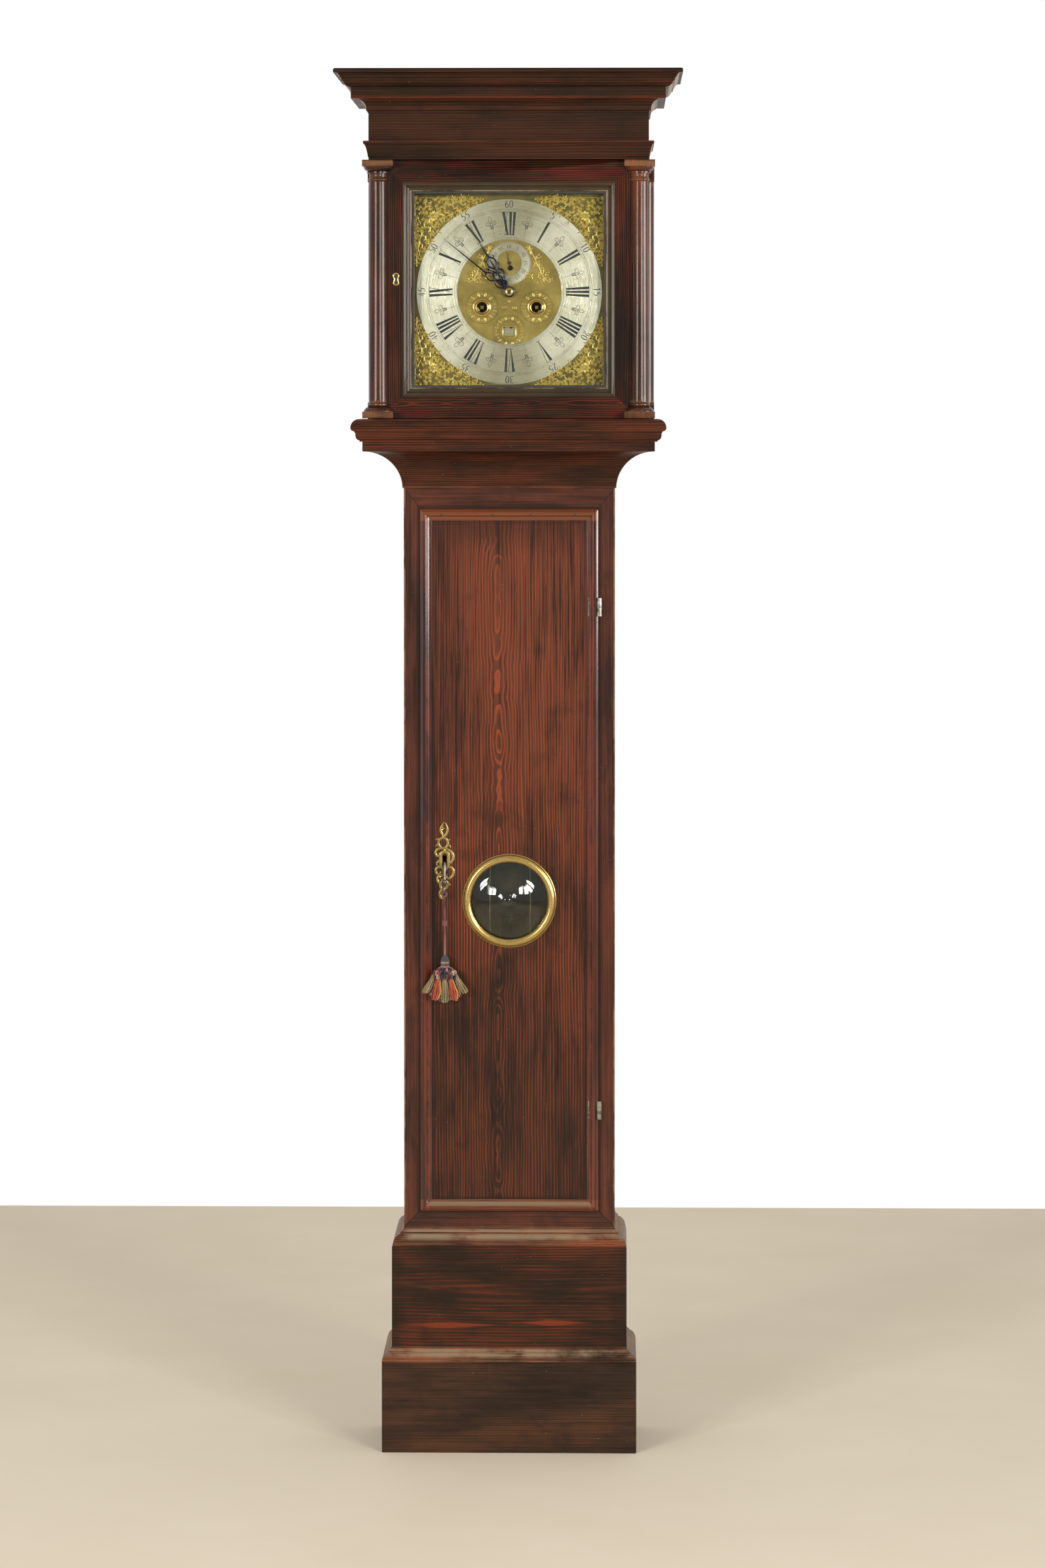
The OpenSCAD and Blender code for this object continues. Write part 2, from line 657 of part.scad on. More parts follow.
// Tube of eight sides through a list of points, with rings level to the floor
module drop_tube(route, r, n) {
    rings = len(route);
    pts = [for (p = route) for (k = [0:n - 1])
        [p[0] + r * cos(360 * k / n), p[1] + r * sin(360 * k / n), p[2]]];
    walls = [for (i = [0:rings - 2]) for (k = [0:n - 1])
        [i * n + k, i * n + (k + 1) % n, (i + 1) * n + (k + 1) % n, (i + 1) * n + k]];
    top = [[for (k = [0:n - 1]) n - 1 - k]];
    bottom = [[for (k = [0:n - 1]) (rings - 1) * n + k]];
    polyhedron(points = pts, faces = concat(top, walls, bottom), convexity = 2);
}
module tassel_cord() {
    color("#8a6a6e") drop_tube(cord_route, cord_r, 8);
}
module tassel() {
    translate([tassel_x, tassel_y, tassel_top - tassel_h]) {
        color("#4c5260") rotate_extrude() polygon(concat([[0, 10], [12, 10], [14, 38]],
            arc(8, 49, 10, 310, 410, 6), [[7, 58], [6.5, 68], [4.5, 74], [2, tassel_h], [0, tassel_h]]));
        color("#a8433a") for (k = [-2:2]) translate([k * 14, k % 2 == 0 ? -2 : -0.8, 0])
            cylinder(r1 = 8.2, r2 = 4, h = 42);
    }
}

// Hood
module hood_base_moulding() {
    w = 2 * (hood_side_w / 2 + 14);
    color("#6a3020") difference() {
        union() {
            mitred_strips(w, hood_base_pts, w / 2 - hood_in, z_hood, hood_base_h);
            board([-hood_in, front_of(2 * hood_in) - 0.05, z_bay - 14],
                [hood_in, mask_y + mask_t, z_bay]);
        }
        pivot_bore(z_bay - 8, 20);
    }
}
module pivot_bore(z, h) {
    translate([pivot_x, pivot_y, z]) cylinder(r = pivot_pin_r + fit, h = h);
}
module hood_carcass() {
    color("#4e2819") {
        both_sides() board([hood_in, hood_side_y, z_bay], [hood_side_w / 2, y_back, z_arch]);
        board([-frieze_w / 2 + board_t, front_of(frieze_w) + board_t, z_top - 18],
            [frieze_w / 2 - board_t, y_back, z_top - 8]);
    }
}
module rear_columns() {
    r = shaft_r - 0.4;
    y = y_back - block_w / 2;
    hw = hood_side_w / 2;
    color("#3c2418") both_sides() difference() {
        union() {
            translate([hw, y, z_bay]) cylinder(r = r, h = z_arch - z_bay);
            for (z = [z_bay, z_arch - 26])
                board([hw - 1, y - block_w / 2, z], [hw + 14, y_back, z + 26]);
        }
        board([hw - 60, y - 60, z_bay - 1], [hw, y + 60, z_arch + 1]);
        board([hw - 60, y_back, z_bay - 1], [hw + 60, y_back + 60, z_arch + 1]);
    }
}
module dial_mask() {
    open_w = dial_w - 2;
    outer = 2 * hood_in;
    color("#2e1c14") {
        for (s = [-1, 1]) {
            board([s > 0 ? open_w / 2 : -outer / 2, mask_y, z_bay],
                [s > 0 ? outer / 2 : -open_w / 2, mask_y + mask_t, z_arch]);
        }
        board([-open_w / 2, mask_y, z_bay], [open_w / 2, mask_y + mask_t, z_dial - open_w / 2]);
        board([-open_w / 2, mask_y, z_dial + open_w / 2], [open_w / 2, mask_y + mask_t, z_arch]);
    }
}
module hood_frieze() {
    wall = frieze_w / 2 - hood_in;
    color("#43241a") difference() {
        union() {
            mitred_strips(frieze_w, architrave_pts, wall, z_arch, architrave_h);
            mitred_strips(frieze_w, [[0, 0], [0, frieze_h - 0.1]], wall, z_frieze + 0.05, frieze_h);
            board([-hood_in, front_of(2 * hood_in) - 0.05, z_arch],
                [hood_in, mask_y + mask_t, z_arch + 12]);
        }
        pivot_bore(z_arch - 1, 9);
    }
}
module hood_cornice() {
    color("#4a281b") mitred_strips(frieze_w, cornice_pts, board_t, z_cornice, cornice_h);
}

// Hood door
door_half = column_x;
sight_z = z_door + sight_low;
sight_mid = sight_z + sight_h / 2;
bead_pts = concat([[0, 0], [0, 2]], arc(3, 2, 2, 180, 90, 4), [[3, bead_t]],
    arc(bead_w, bead_t, bead_w - 6, 185, 262, 8), [[bead_w, -4], [bead_w, -9], [0, -9]]);
module hood_door_frame() {
    lap = 5;
    color("#5c2a1a") {
        difference() {
            board([-door_half, door_y, z_door], [door_half, door_back, z_door_top]);
            board([-sight_w / 2 - bead_w, door_y - 1, sight_z - bead_w],
                [sight_w / 2 + bead_w, glass_y, sight_z + sight_h + bead_w]);
            board([-sight_w / 2 - lap, glass_y - 1, sight_z - lap],
                [sight_w / 2 + lap, door_back + 1, sight_z + sight_h + lap]);
        }
        difference() {
            mitred_border(sight_w + 2 * bead_w, sight_h + 2 * bead_w, bead_w, bead_pts, door_y,
                sight_mid);
            board([-sight_w, glass_y, z_door], [sight_w, door_back, z_door_top]);
        }
    }
}
module hood_glass() {
    lap = 4.8;
    color([0.8, 0.85, 0.85, 0.25])
        board([-sight_w / 2 - lap, glass_y, sight_z - lap],
            [sight_w / 2 + lap, glass_y + glass_t, sight_z + sight_h + lap]);
}
// Turned column as [radius, height from its foot]
function column_pts(h) = concat(
    [[0, 8], [22.5, 8], [22.5, 9]], arc(14, 9, 8.5, 0, 80, 6), [[14.8, 18.5], [17, 18.5]],
    arc(16.6, 21, 2, 300, 60, 5), [[15.5, 23.5], [shaft_r, 26], [shaft_r - 1.2, h - 33]],
    arc(shaft_r - 1.2, h - 30, 2.2, 280, 420, 5), [[shaft_r - 1, h - 26], [shaft_r - 0.6, h - 20],
    [17, h - 20], [17, h - 17.5]], arc(14.5, h - 9.5, 7.5, 280, 340, 5), [[22, h - 9.5], [0, h - 9.5]]);
module hood_columns() {
    h = z_door_top - z_door;
    hw = block_w / 2;
    color("#5e3a20") both_sides() difference() {
        translate([column_x, col_y, z_door]) union() {
            rotate_extrude() polygon(column_pts(h));
            for (z = [0, h - 10]) intersection() {
                translate([-hw, -hw, z]) cube([block_w, door_back - col_y + hw, 10]);
                union() {
                    translate([-hw, -hw, z]) cube([block_w, hw + pivot_y - col_y, 10]);
                    translate([-hw, -hw, z]) cube([block_w - pivot_in, 2 * block_w, 10]);
                    translate([pivot_x - column_x, pivot_y - col_y, z])
                        cylinder(r = pivot_in, h = 10);
                }
            }
        }
        board([column_x - 60, door_y, z_door - 1], [door_half + 0.05, door_back + 60, z_door_top + 1]);
        board([column_x - 60, door_back, z_door - 1], [column_x + 60, door_back + 60, z_door_top + 1]);
        for (z = [z_door - 1, z_door_top - 9])
            translate([pivot_x, pivot_y, z]) cylinder(r = pivot_pin_r, h = 10);
    }
}
module hood_door_fittings() {
    esc_x = -sight_w / 2 - bead_w - 9.5;
    esc_z = z_bay + 216;
    color("#a88a3c") {
        translate([pivot_x, pivot_y, z_door - 6]) cylinder(r = pivot_pin_r, h = 15);
        translate([pivot_x, pivot_y, z_door_top - 9]) cylinder(r = pivot_pin_r, h = 15);
        difference() {
            bar_y(5.5, door_y - 1.2, door_y, esc_x, esc_z);
            bar_y(1.6, door_y - 2, door_y + 1, esc_x, esc_z + 1);
            board([esc_x - 0.8, door_y - 2, esc_z - 3.5], [esc_x + 0.8, door_y + 1, esc_z + 1]);
        }
    }
}

// Dial
module dial_plate() {
    feet = [[52, 70], [50, -66]];
    studs = 4;
    y0 = dial_y;
    y1 = dial_y + dial_t;
    color("#8f7a3a") translate([0, 0, z_dial]) {
        difference() {
            board([-dial_w / 2, y0, -dial_w / 2], [dial_w / 2, y1, dial_w / 2]);
            bar_y(hour_pipe_r + 0.5, y0 - 1, y1 + 1);
            bar_y(seconds_arbor_r + 0.5, y0 - 1, y1 + 1, 0, sec_rise);
            both_sides() bar_y(wind_hole_r, y0 - 1, y1 + 1, wind_x, -wind_drop);
            board([-9, y0 - 1, -date_drop - 6.5], [9, y1 + 1, -date_drop + 6.5]);
        }
        both_sides() for (f = feet) bar_y(3, y1 - 0.5, y_pf, f[0], f[1]);
        for (k = [0:studs - 1]) {
            p = polar(date_ring_r + run_gap + 2, 45 + k * 90);
            bar_y(2, y1 - 0.5, y1 + 4, p[0], p[1]);
        }
    }
}
module dial_rings() {
    color("#c4c0b2") translate([0, 0, z_dial]) {
        difference() {
            bar_y(ring_od / 2, dial_y - 1.5, dial_y);
            bar_y(ring_id / 2, dial_y - 2, dial_y + 1);
        }
        difference() {
            bar_y(sec_od / 2, dial_y - 1.3, dial_y, 0, sec_rise);
            bar_y(sec_id / 2, dial_y - 2, dial_y + 1, 0, sec_rise);
        }
    }
}
module spandrels() {
    border = 5.5;
    side = 109;
    far = dial_w / 2 - border;
    near = far - side;
    holes = [for (a = [22:11.5:68]) polar(ring_od / 2 + 15, a)];
    color("#c9a545") translate([0, 0, z_dial]) for (q = [0:3]) rotate([0, 90 * q, 0])
        difference() {
            slab_y(dial_y - 4, dial_y) difference() {
                translate([near, near]) square(far - near);
                circle(ring_od / 2 + 1.5, $fn = 96);
            }
            for (p = holes) bar_y(3, dial_y - 5, dial_y + 1, p[0], p[1]);
        }
}

// Wheels
function tooth_ring(n, root, tip, wr, wt, ph) = [for (i = [0:n - 1]) let (a = ph + i * 360 / n)
    for (c = [[root, -wr], [tip, -wt], [tip, wt], [root, wr]])
        polar(c[0], a + c[1] * 180 / n)];
module wheel_teeth(n, m, ph) {
    r = m * n / 2;
    polygon(tooth_ring(n, r - 1.25 * m, r + 0.75 * m, 0.46, 0.2, ph));
}
module pinion_leaves(n, m, ph) {
    r = m * n / 2;
    polygon(tooth_ring(n, r - 1.35 * m, r + 0.55 * m, 0.34, 0.2, ph));
}
// Crossed-out wheel at p, its back face at depth y1
module wheel(p, n, m, ph, y1, hub = 4, t = wheel_t) {
    r = m * n / 2;
    rim = r - 1.25 * m - 0.12 * r;
    slab_y(y1 - t, y1, p[0], z_dial + p[1]) difference() {
        wheel_teeth(n, m, ph);
        difference() {
            circle(rim);
            circle(hub + 1.5);
            for (a = [0, 90]) rotate(a + ph) square([2 * r, 0.14 * r], center = true);
        }
    }
}
module pinion(p, n, m, ph, y0, y1) {
    slab_y(y0, y1, p[0], z_dial + p[1]) pinion_leaves(n, m, ph);
}
// Arbor between the plates with a pivot in each
module arbor(p, r) {
    z = z_dial + p[1];
    bar_y(r, y_in + run_gap, y_out - run_gap, p[0], z);
    bar_y(pivot_r, y_pf + 0.5, y_pb - 0.5, p[0], z);
}
function at(lay) = y_in + lay;

pillar_places = [[60, -73], [-60, -73], [56, 84], [-50, 84], [0, -62]];
pivot_places = [going_p, strike_p, third_p, escape_p, pin_p, locking_p, warning_p, fly_p, hammer_p];
barrel_arbor_r = 3.4;
module movement_frame() {
    color("#b89a4a") {
        difference() {
            for (y = [y_pf, y_out])
                board([-plate_half, y, z_dial - plate_down], [plate_half, y + plate_t, z_dial + plate_up]);
            for (p = pivot_places) if (p != going_p && p != strike_p && p != escape_p)
                bar_y(pivot_r + fit, y_pf - 1, y_pb + 1, p[0], z_dial + p[1]);
            for (p = [going_p, strike_p]) {
                bar_y(barrel_arbor_r + fit, y_pf - 1, y_in + 1, p[0], z_dial + p[1]);
                bar_y(barrel_arbor_r + fit, y_out - 1, y_pb + 1, p[0], z_dial + p[1]);
            }
            bar_y(seconds_arbor_r + fit, y_pf - 1, y_in + 1, 0, z_dial + sec_rise);
            bar_y(pivot_r + fit, y_out - 1, y_pb + 1, 0, z_dial + sec_rise);
            bar_y(centre_arbor_r + fit, y_pf - 1, y_pb + 1, 0, z_dial);
            bar_y(pivot_r + fit, y_pf - 1, y_in + 1, 0, z_dial + anchor_p[1]);
            bar_y(4, y_out - 1, y_pb + 1, 0, z_dial + anchor_p[1]);
        }
        for (p = pillar_places) {
            bar_y(3.5, y_in - 0.5, y_out + 0.5, p[0], z_dial + p[1]);
            bar_y(5, y_in + 8, y_in + 12, p[0], z_dial + p[1]);
            bar_y(5, y_out - 12, y_out - 8, p[0], z_dial + p[1]);
        }
        bar_y(minute_stud_r, y_pf - 16, y_pf + 0.5, minute_p[0], z_dial + minute_p[1]);
    }
}
// Cock that carries the pallet arbor and the pendulum, and the stand of the bell
bell_z = z_dial + plate_up + 8;
bell_r = 45;
bell_y = y_in + 43;
module back_cocks() {
    z = z_dial + anchor_p[1];
    stand_x = 57;
    post_t = 3;
    arm_z = bell_z + bell_r + 3;
    color("#a88a42") difference() {
        union() {
            both_sides() board([20, y_pb, z - 6], [26, y_pb + 12, z + 6]);
            board([-26, y_pb + 9, z - 6], [26, y_pb + 12, z + 6]);
            board([-5, y_pb + 12, z], [5, y_swing + 4, z + 6]);
        }
        bar_y(pivot_r + fit, y_pb + 8, y_pb + 13, 0, z);
        board([-0.6, y_swing - 4.5, z - 1], [0.6, y_swing + 5, z + 7]);
    }
    color("#77736a") {
        board([stand_x - 5, y_pb, z_dial + 30], [stand_x + 5, y_pb + post_t, arm_z]);
        board([-4, bell_y - 4, arm_z], [stand_x + 5, bell_y + 4, arm_z + post_t]);
        board([stand_x - 5, bell_y - 4, arm_z], [stand_x + 5, y_pb + post_t, arm_z + post_t]);
    }
}
module bell() {
    wall = 2.4;
    color("#a89458") translate([0, bell_y, bell_z]) {
        rotate_extrude() difference() {
            intersection() {
                circle(bell_r);
                square(bell_r);
            }
            circle(bell_r - wall);
        }
        translate([0, 0, bell_r - 1]) cylinder(r = 6, h = 4);
    }
}

// Going train
module barrel_of(p, n, ph, side) {
    z = z_dial + p[1];
    wheel(p, n, great_m, ph, at(lay_great + 1), 8, 3);
    bar_y(barrel_r, at(lay_great + 1), at(lay_great + 37), p[0], z);
    bar_y(barrel_r + 2, at(lay_great + 35), at(lay_great + 37), p[0], z);
    bar_y(barrel_arbor_r, y_pf, y_pb - 0.5, p[0], z);
    slab_y(dial_y + dial_t + 0.5, y_pf, p[0], z) square(5, center = true);
}
module going_barrel() {
    color("#b89a4a") barrel_of(going_p, great_n, ph_going, 1);
}
module centre_wheel() {
    color("#c0a254") {
        wheel(centre_p, centre_n, centre_m, ph_centre, at(lay_centre), 4);
        pinion(centre_p, pinion_n, great_m, ph_centre_pinion, at(0.5), at(6));
        bar_y(centre_arbor_r + 0.6, y_in + run_gap, y_out - run_gap, 0, z_dial);
        bar_y(centre_arbor_r, y_minute - hand_t - 3.5, y_pb - 0.5, 0, z_dial);
    }
}
module third_wheel() {
    color("#c0a254") {
        wheel(third_p, third_n, third_m, ph_third, at(lay_third), 3);
        pinion(third_p, pinion_n, centre_m, ph_third_pinion, at(lay_centre - 5), at(lay_centre + 1));
        arbor(third_p, 1.5);
    }
}
module escape_wheel() {
    z = z_dial + sec_rise;
    tip = 19;
    color("#c0a254") {
        pinion(escape_p, small_pinion_n, third_m, ph_escape_pinion, at(lay_third - 5),
            at(lay_third + 2));
        slab_y(at(lay_escape) - wheel_t, at(lay_escape), 0, z) difference() {
            polygon([for (i = [0:escape_n - 1]) let (a = i * 360 / escape_n)
                for (c = [[tip - 3.6, -5], [tip, 0], [tip, -0.6], [tip - 3.6, -9]])
                    polar(c[0], a - c[1])]);
            difference() {
                circle(13);
                circle(4.5);
                for (a = [0, 90]) rotate(a) square([40, 2.4], center = true);
            }
        }
        bar_y(1.6, y_in + run_gap, y_out - run_gap, 0, z);
        bar_y(pivot_r, y_out - 1, y_pb - 0.5, 0, z);
        bar_y(seconds_arbor_r, y_seconds - 2, y_in + 1, 0, z);
    }
}
module pallet_anchor() {
    z = z_dial + anchor_p[1];
    crutch_y = y_pb + 4;
    fork_z = z - 128;
    color("#6f6c66") {
        bar_y(pivot_r, y_pf + 0.5, y_pb + 11.5, 0, z);
        bar_y(1.6, y_in + run_gap, y_pb + 8.5, 0, z);
        slab_y(at(lay_escape) - 2.5, at(lay_escape) + 0.5, 0, z) union() {
            circle(4);
            for (s = [-1, 1]) polygon([[0, 3], [s * 17, -7.5], [s * 18.5, -11], [s * 16.6, -13.4],
                [s * 14, -9.6], [0, -3]]);
        }
        board([-2, crutch_y - 1, fork_z], [2, crutch_y + 1, z]);
        for (s = [-1, 1]) board([s * 5 - 1.5, crutch_y - 1, fork_z - 1.5],
            [s * 5 + 1.5, y_swing + 4, fork_z + 1.5]);
        board([-6, crutch_y - 1, fork_z - 1.5], [6, crutch_y + 1, fork_z + 1.5]);
    }
}
rod_r = 3;
module pendulum_rod() {
    spring_l = 30;
    thread_l = 34;
    color("#77736a") {
        board([-0.25, y_swing - 4, swing_z - spring_l], [0.25, y_swing + 4, swing_z + 5]);
        board([-4, y_swing - 5, swing_z - spring_l - 12], [4, y_swing + 5, swing_z - spring_l]);
        translate([0, y_swing, bob_z - bob_r - thread_l])
            cylinder(r = rod_r, h = pendulum_len + bob_r + thread_l - spring_l - 11);
    }
}
module pendulum_bob() {
    dome_r = (bob_r * bob_r + bob_t * bob_t / 4) / bob_t;
    nut_z = bob_z - bob_r - 12;
    color("#6a665e") {
        translate([0, y_swing, bob_z]) difference() {
            intersection() {
                bar_y(bob_r, -bob_t, bob_t);
                translate([0, dome_r - bob_t / 2, 0]) sphere(dome_r, $fn = 96);
                translate([0, bob_t / 2 - dome_r, 0]) sphere(dome_r, $fn = 96);
            }
            translate([0, 0, -bob_r - 1]) cylinder(r = rod_r, h = 2 * bob_r + 2);
        }
        translate([0, y_swing, nut_z]) difference() {
            cylinder(r = 11, h = 10);
            translate([0, 0, -1]) cylinder(r = rod_r, h = 12);
        }
    }
}

// Motion work and hands; hands are drawn pointing up and then turned
module seconds_hand() {
    color("#2a2a30") translate([0, 0, z_dial + sec_rise]) rotate([0, seconds_deg, 0])
        slab_y(y_seconds - 0.6, y_seconds) difference() {
            union() {
                circle(2.6);
                polygon([[-0.8, 0], [0.8, 0], [0.4, 26], [-0.4, 26]]);
                polygon([[-0.6, 0], [0.6, 0], [1.8, -9], [-1.8, -9]]);
            }
            circle(seconds_arbor_r);
        }
}
module minute_hand() {
    teeth_m = 2 * motion_d / (2 * cannon_n);
    y1 = y_pf - 2.5;
    color("#2a2a30") {
        translate([0, 0, z_dial]) rotate([0, minute_deg, 0]) difference() {
            union() {
                slab_y(y_minute - hand_t, y_minute) union() {
                    circle(10);
                    polygon([[-3, 8], [3, 8], [6.5, 26], [4, 44], [2.2, 52], [0.5, minute_len],
                        [-0.5, minute_len], [-2.2, 52], [-4, 44], [-6.5, 26]]);
                }
                bar_y(cannon_pipe_r, y_minute - 0.5, y_pf - 0.5);
            }
            bar_y(centre_arbor_r + fit, y_minute - 3, y_pf);
            for (h = [20, 32]) bar_y(2.6, y_minute - 2, y_minute + 1, 0, h);
        }
        difference() {
            slab_y(y1 - wheel_t, y1, 0, z_dial) wheel_teeth(cannon_n, teeth_m, ph_cannon);
            bar_y(cannon_pipe_r - 0.5, y1 - 4, y1 + 1, 0, z_dial);
        }
    }
    color("#c9a545") translate([0, 0, z_dial]) difference() {
        bar_y(6.8, y_minute - hand_t - 3, y_minute - hand_t);
        bar_y(centre_arbor_r + fit, y_minute - 6, y_minute);
    }
}
module minute_wheel() {
    teeth_m = 2 * motion_d / (2 * cannon_n);
    pinion_m = 2 * motion_d / (hour_n + hour_pinion_n);
    y1 = y_pf - 2.5;
    color("#c0a254") difference() {
        union() {
            slab_y(y1 - wheel_t, y1, minute_p[0], z_dial + minute_p[1])
                wheel_teeth(cannon_n, teeth_m, ph_minute);
            pinion(minute_p, hour_pinion_n, pinion_m, ph_hour_pinion, y1 - 12, y1 - wheel_t + 0.5);
        }
        bar_y(minute_stud_r + fit, y1 - 13, y1 + 1, minute_p[0], z_dial + minute_p[1]);
    }
}
module hour_hand() {
    pinion_m = 2 * motion_d / (hour_n + hour_pinion_n);
    y1 = y_pf - 9;
    color("#2a2a30") translate([0, 0, z_dial]) difference() {
        union() {
            rotate([0, hour_deg, 0]) slab_y(y_hour - hand_t, y_hour) difference() {
                union() {
                    circle(10);
                    polygon([[-4, 8], [4, 8], [9, 24], [6, 34], [13, 42], [9, 50], [3, 54],
                        [0.6, hour_len], [-0.6, hour_len], [-3, 54], [-9, 50], [-13, 42], [-6, 34],
                        [-9, 24]]);
                }
                translate([0, 22]) circle(3.4);
                for (s = [-1, 1]) translate([s * 6, 42]) circle(2.6);
            }
            bar_y(hour_pipe_r, y_hour - 0.5, y1 - 0.5);
            slab_y(y1 - wheel_t, y1) wheel_teeth(hour_n, pinion_m, ph_hour);
        }
        bar_y(cannon_pipe_r + fit, y_hour - 3, y1 + 1);
    }
}
date_ring_r = 70;
module date_ring() {
    y0 = dial_y + dial_t + run_gap;
    color("#c4c0b2") translate([0, 0, z_dial]) slab_y(y0, y0 + 2) difference() {
        circle(date_ring_r, $fn = 96);
        polygon(tooth_ring(31, 56.5, 54, 0.8, 0.5, 0));
    }
}

// Striking train
module strike_barrel() {
    color("#b89a4a") barrel_of(strike_p, strike_great_n, ph_strike, -1);
}
pins = 8;
pin_circle = 19;
module pin_wheel() {
    color("#c0a254") {
        wheel(pin_p, pin_n, pin_m, ph_pin, at(lay_pin), 4);
        pinion(pin_p, pinion_n, great_m, ph_pin_pinion, at(0.5), at(6));
        arbor(pin_p, 1.8);
        for (k = [0:pins - 1]) {
            p = pin_p + polar(pin_circle, k * 360 / pins + 22.5);
            bar_y(1, at(lay_pin) - wheel_t - 3, at(lay_pin) - 0.5, p[0], z_dial + p[1]);
        }
    }
}
module locking_wheel() {
    color("#c0a254") {
        wheel(locking_p, locking_n, locking_m, ph_locking, at(lay_locking), 3);
        pinion(locking_p, pinion_n, pin_m, ph_locking_pinion, at(lay_pin - 4), at(lay_pin + 1));
        arbor(locking_p, 1.5);
    }
}
module warning_wheel() {
    color("#c0a254") {
        wheel(warning_p, warning_n, warning_m, ph_warning, at(lay_warning), 3);
        pinion(warning_p, small_pinion_n, locking_m, ph_warning_pinion, at(lay_locking - 4),
            at(lay_locking + 2));
        arbor(warning_p, 1.4);
    }
}
module fly() {
    vane_r = 14;
    color("#c0a254") {
        pinion(fly_p, fly_pinion_n, warning_m, ph_fly_pinion, at(lay_warning - 4),
            at(lay_warning + 1));
        arbor(fly_p, 1.2);
        translate([fly_p[0], 0, z_dial + fly_p[1]]) rotate([0, 35, 0])
            board([-vane_r, at(8), -0.5], [vane_r, at(40), 0.5]);
    }
}
module hammer() {
    z = z_dial + hammer_p[1];
    y0 = at(lay_pin) - wheel_t - 2.5;
    head_z = bell_z + 6;
    tail = norm(pin_p - hammer_p) - pin_circle - 1.6;
    color("#77736a") {
        arbor(hammer_p, 1.6);
        bar_y(3.4, y0 - 0.4, y0 + 2.4, hammer_p[0], z);
        translate([hammer_p[0], 0, z]) {
            rotate([0, -angle_to(hammer_p, pin_p), 0]) board([0, y0, -1.5], [tail, y0 + 2, 1.5]);
            board([-1.5, y0, 0], [1.5, y0 + 2, head_z - z]);
        }
        translate([hammer_p[0] - 5, y0 + 1, head_z]) rotate([0, 90, 0]) cylinder(r = 4.5, h = 22);
    }
}

// Weights, pulleys and lines, drawn for the going side; the strike side is its mirror image
module weight_shape() {
    top = pulley_z - weight_hang;
    cheek = 4.2;
    color("#5b5850") translate([pulley_x, line_y, 0]) {
        translate([0, 0, top - weight_h]) rotate_extrude() polygon(concat([[0, 0]],
            arc(weight_r - 3, 3, 3, 270, 360, 4), arc(weight_r - 8, weight_h - 8, 8, 0, 90, 5),
            [[0, weight_h]]));
        translate([0, 0, top - 1]) cylinder(r = 3, h = weight_hang - pulley_r - 5);
        board([-5, -cheek - 2, pulley_z - pulley_r - 8], [5, cheek + 2, pulley_z - pulley_r - 4]);
        for (s = [-1, 1]) board([-4, s * (cheek + 1) - 1, pulley_z - pulley_r - 8],
            [4, s * (cheek + 1) + 1, pulley_z + 6]);
        bar_y(hinge_pin_r, -cheek - 2, cheek + 2, 0, pulley_z);
    }
}
module pulley_shape() {
    color("#b89a4a") translate([pulley_x, line_y, pulley_z]) rotate([90, 0, 0]) difference() {
        rotate_extrude() difference() {
            translate([0, -3.2]) square([pulley_r + 2, 6.4]);
            translate([pulley_r + line_r + run_gap, 0]) circle(line_r + 0.4);
        }
        translate([0, 0, -5]) cylinder(r = hinge_pin_r + fit, h = 10);
    }
}
module line_shape() {
    lift = line_r + run_gap;
    color("#b8a070") translate([0, line_y, 0]) {
        translate([line_in_x - lift, 0, pulley_z]) cylinder(r = line_r, h = z_seat - pulley_z);
        translate([line_out_x + lift, 0, pulley_z])
            cylinder(r = line_r, h = z_dial - wind_drop - pulley_z);
        translate([pulley_x, 0, pulley_z]) rotate([90, 0, 0])
            rotate_extrude(angle = 180, start = 180) translate([pulley_r + lift, 0]) circle(line_r);
    }
}
module going_weight() { weight_shape(); }
module going_pulley() { pulley_shape(); }
module going_line() { line_shape(); }
module strike_weight() { mirror([1, 0, 0]) weight_shape(); }
module strike_pulley() { mirror([1, 0, 0]) pulley_shape(); }
module strike_line() { mirror([1, 0, 0]) line_shape(); }

backboard();
foot_skirt();
foot_moulding();
base_boards();
base_moulding();
trunk_sides();
trunk_frame();
throat_moulding();
seatboard();
case_hinge_leaves();
movement_frame();
dial_plate();
dial_rings();
spandrels();
back_cocks();
bell();
trunk_door_board();
door_moulding();
lenticle_ring();
lenticle_glass();
trunk_escutcheon();
trunk_lock();
door_hinge_leaves();
trunk_key();
tassel_cord();
tassel();
hood_base_moulding();
hood_carcass();
rear_columns();
dial_mask();
hood_frieze();
hood_cornice();
hood_door_frame();
hood_glass();
hood_columns();
hood_door_fittings();
pendulum_rod();
pendulum_bob();
pallet_anchor();
going_barrel();
centre_wheel();
third_wheel();
escape_wheel();
seconds_hand();
minute_hand();
minute_wheel();
hour_hand();
date_ring();
strike_barrel();
pin_wheel();
locking_wheel();
warning_wheel();
fly();
hammer();
going_weight();
going_pulley();
going_line();
strike_weight();
strike_pulley();
strike_line();
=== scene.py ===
import json
import math
import random

import bmesh
import bpy
from mathutils import Matrix, Vector

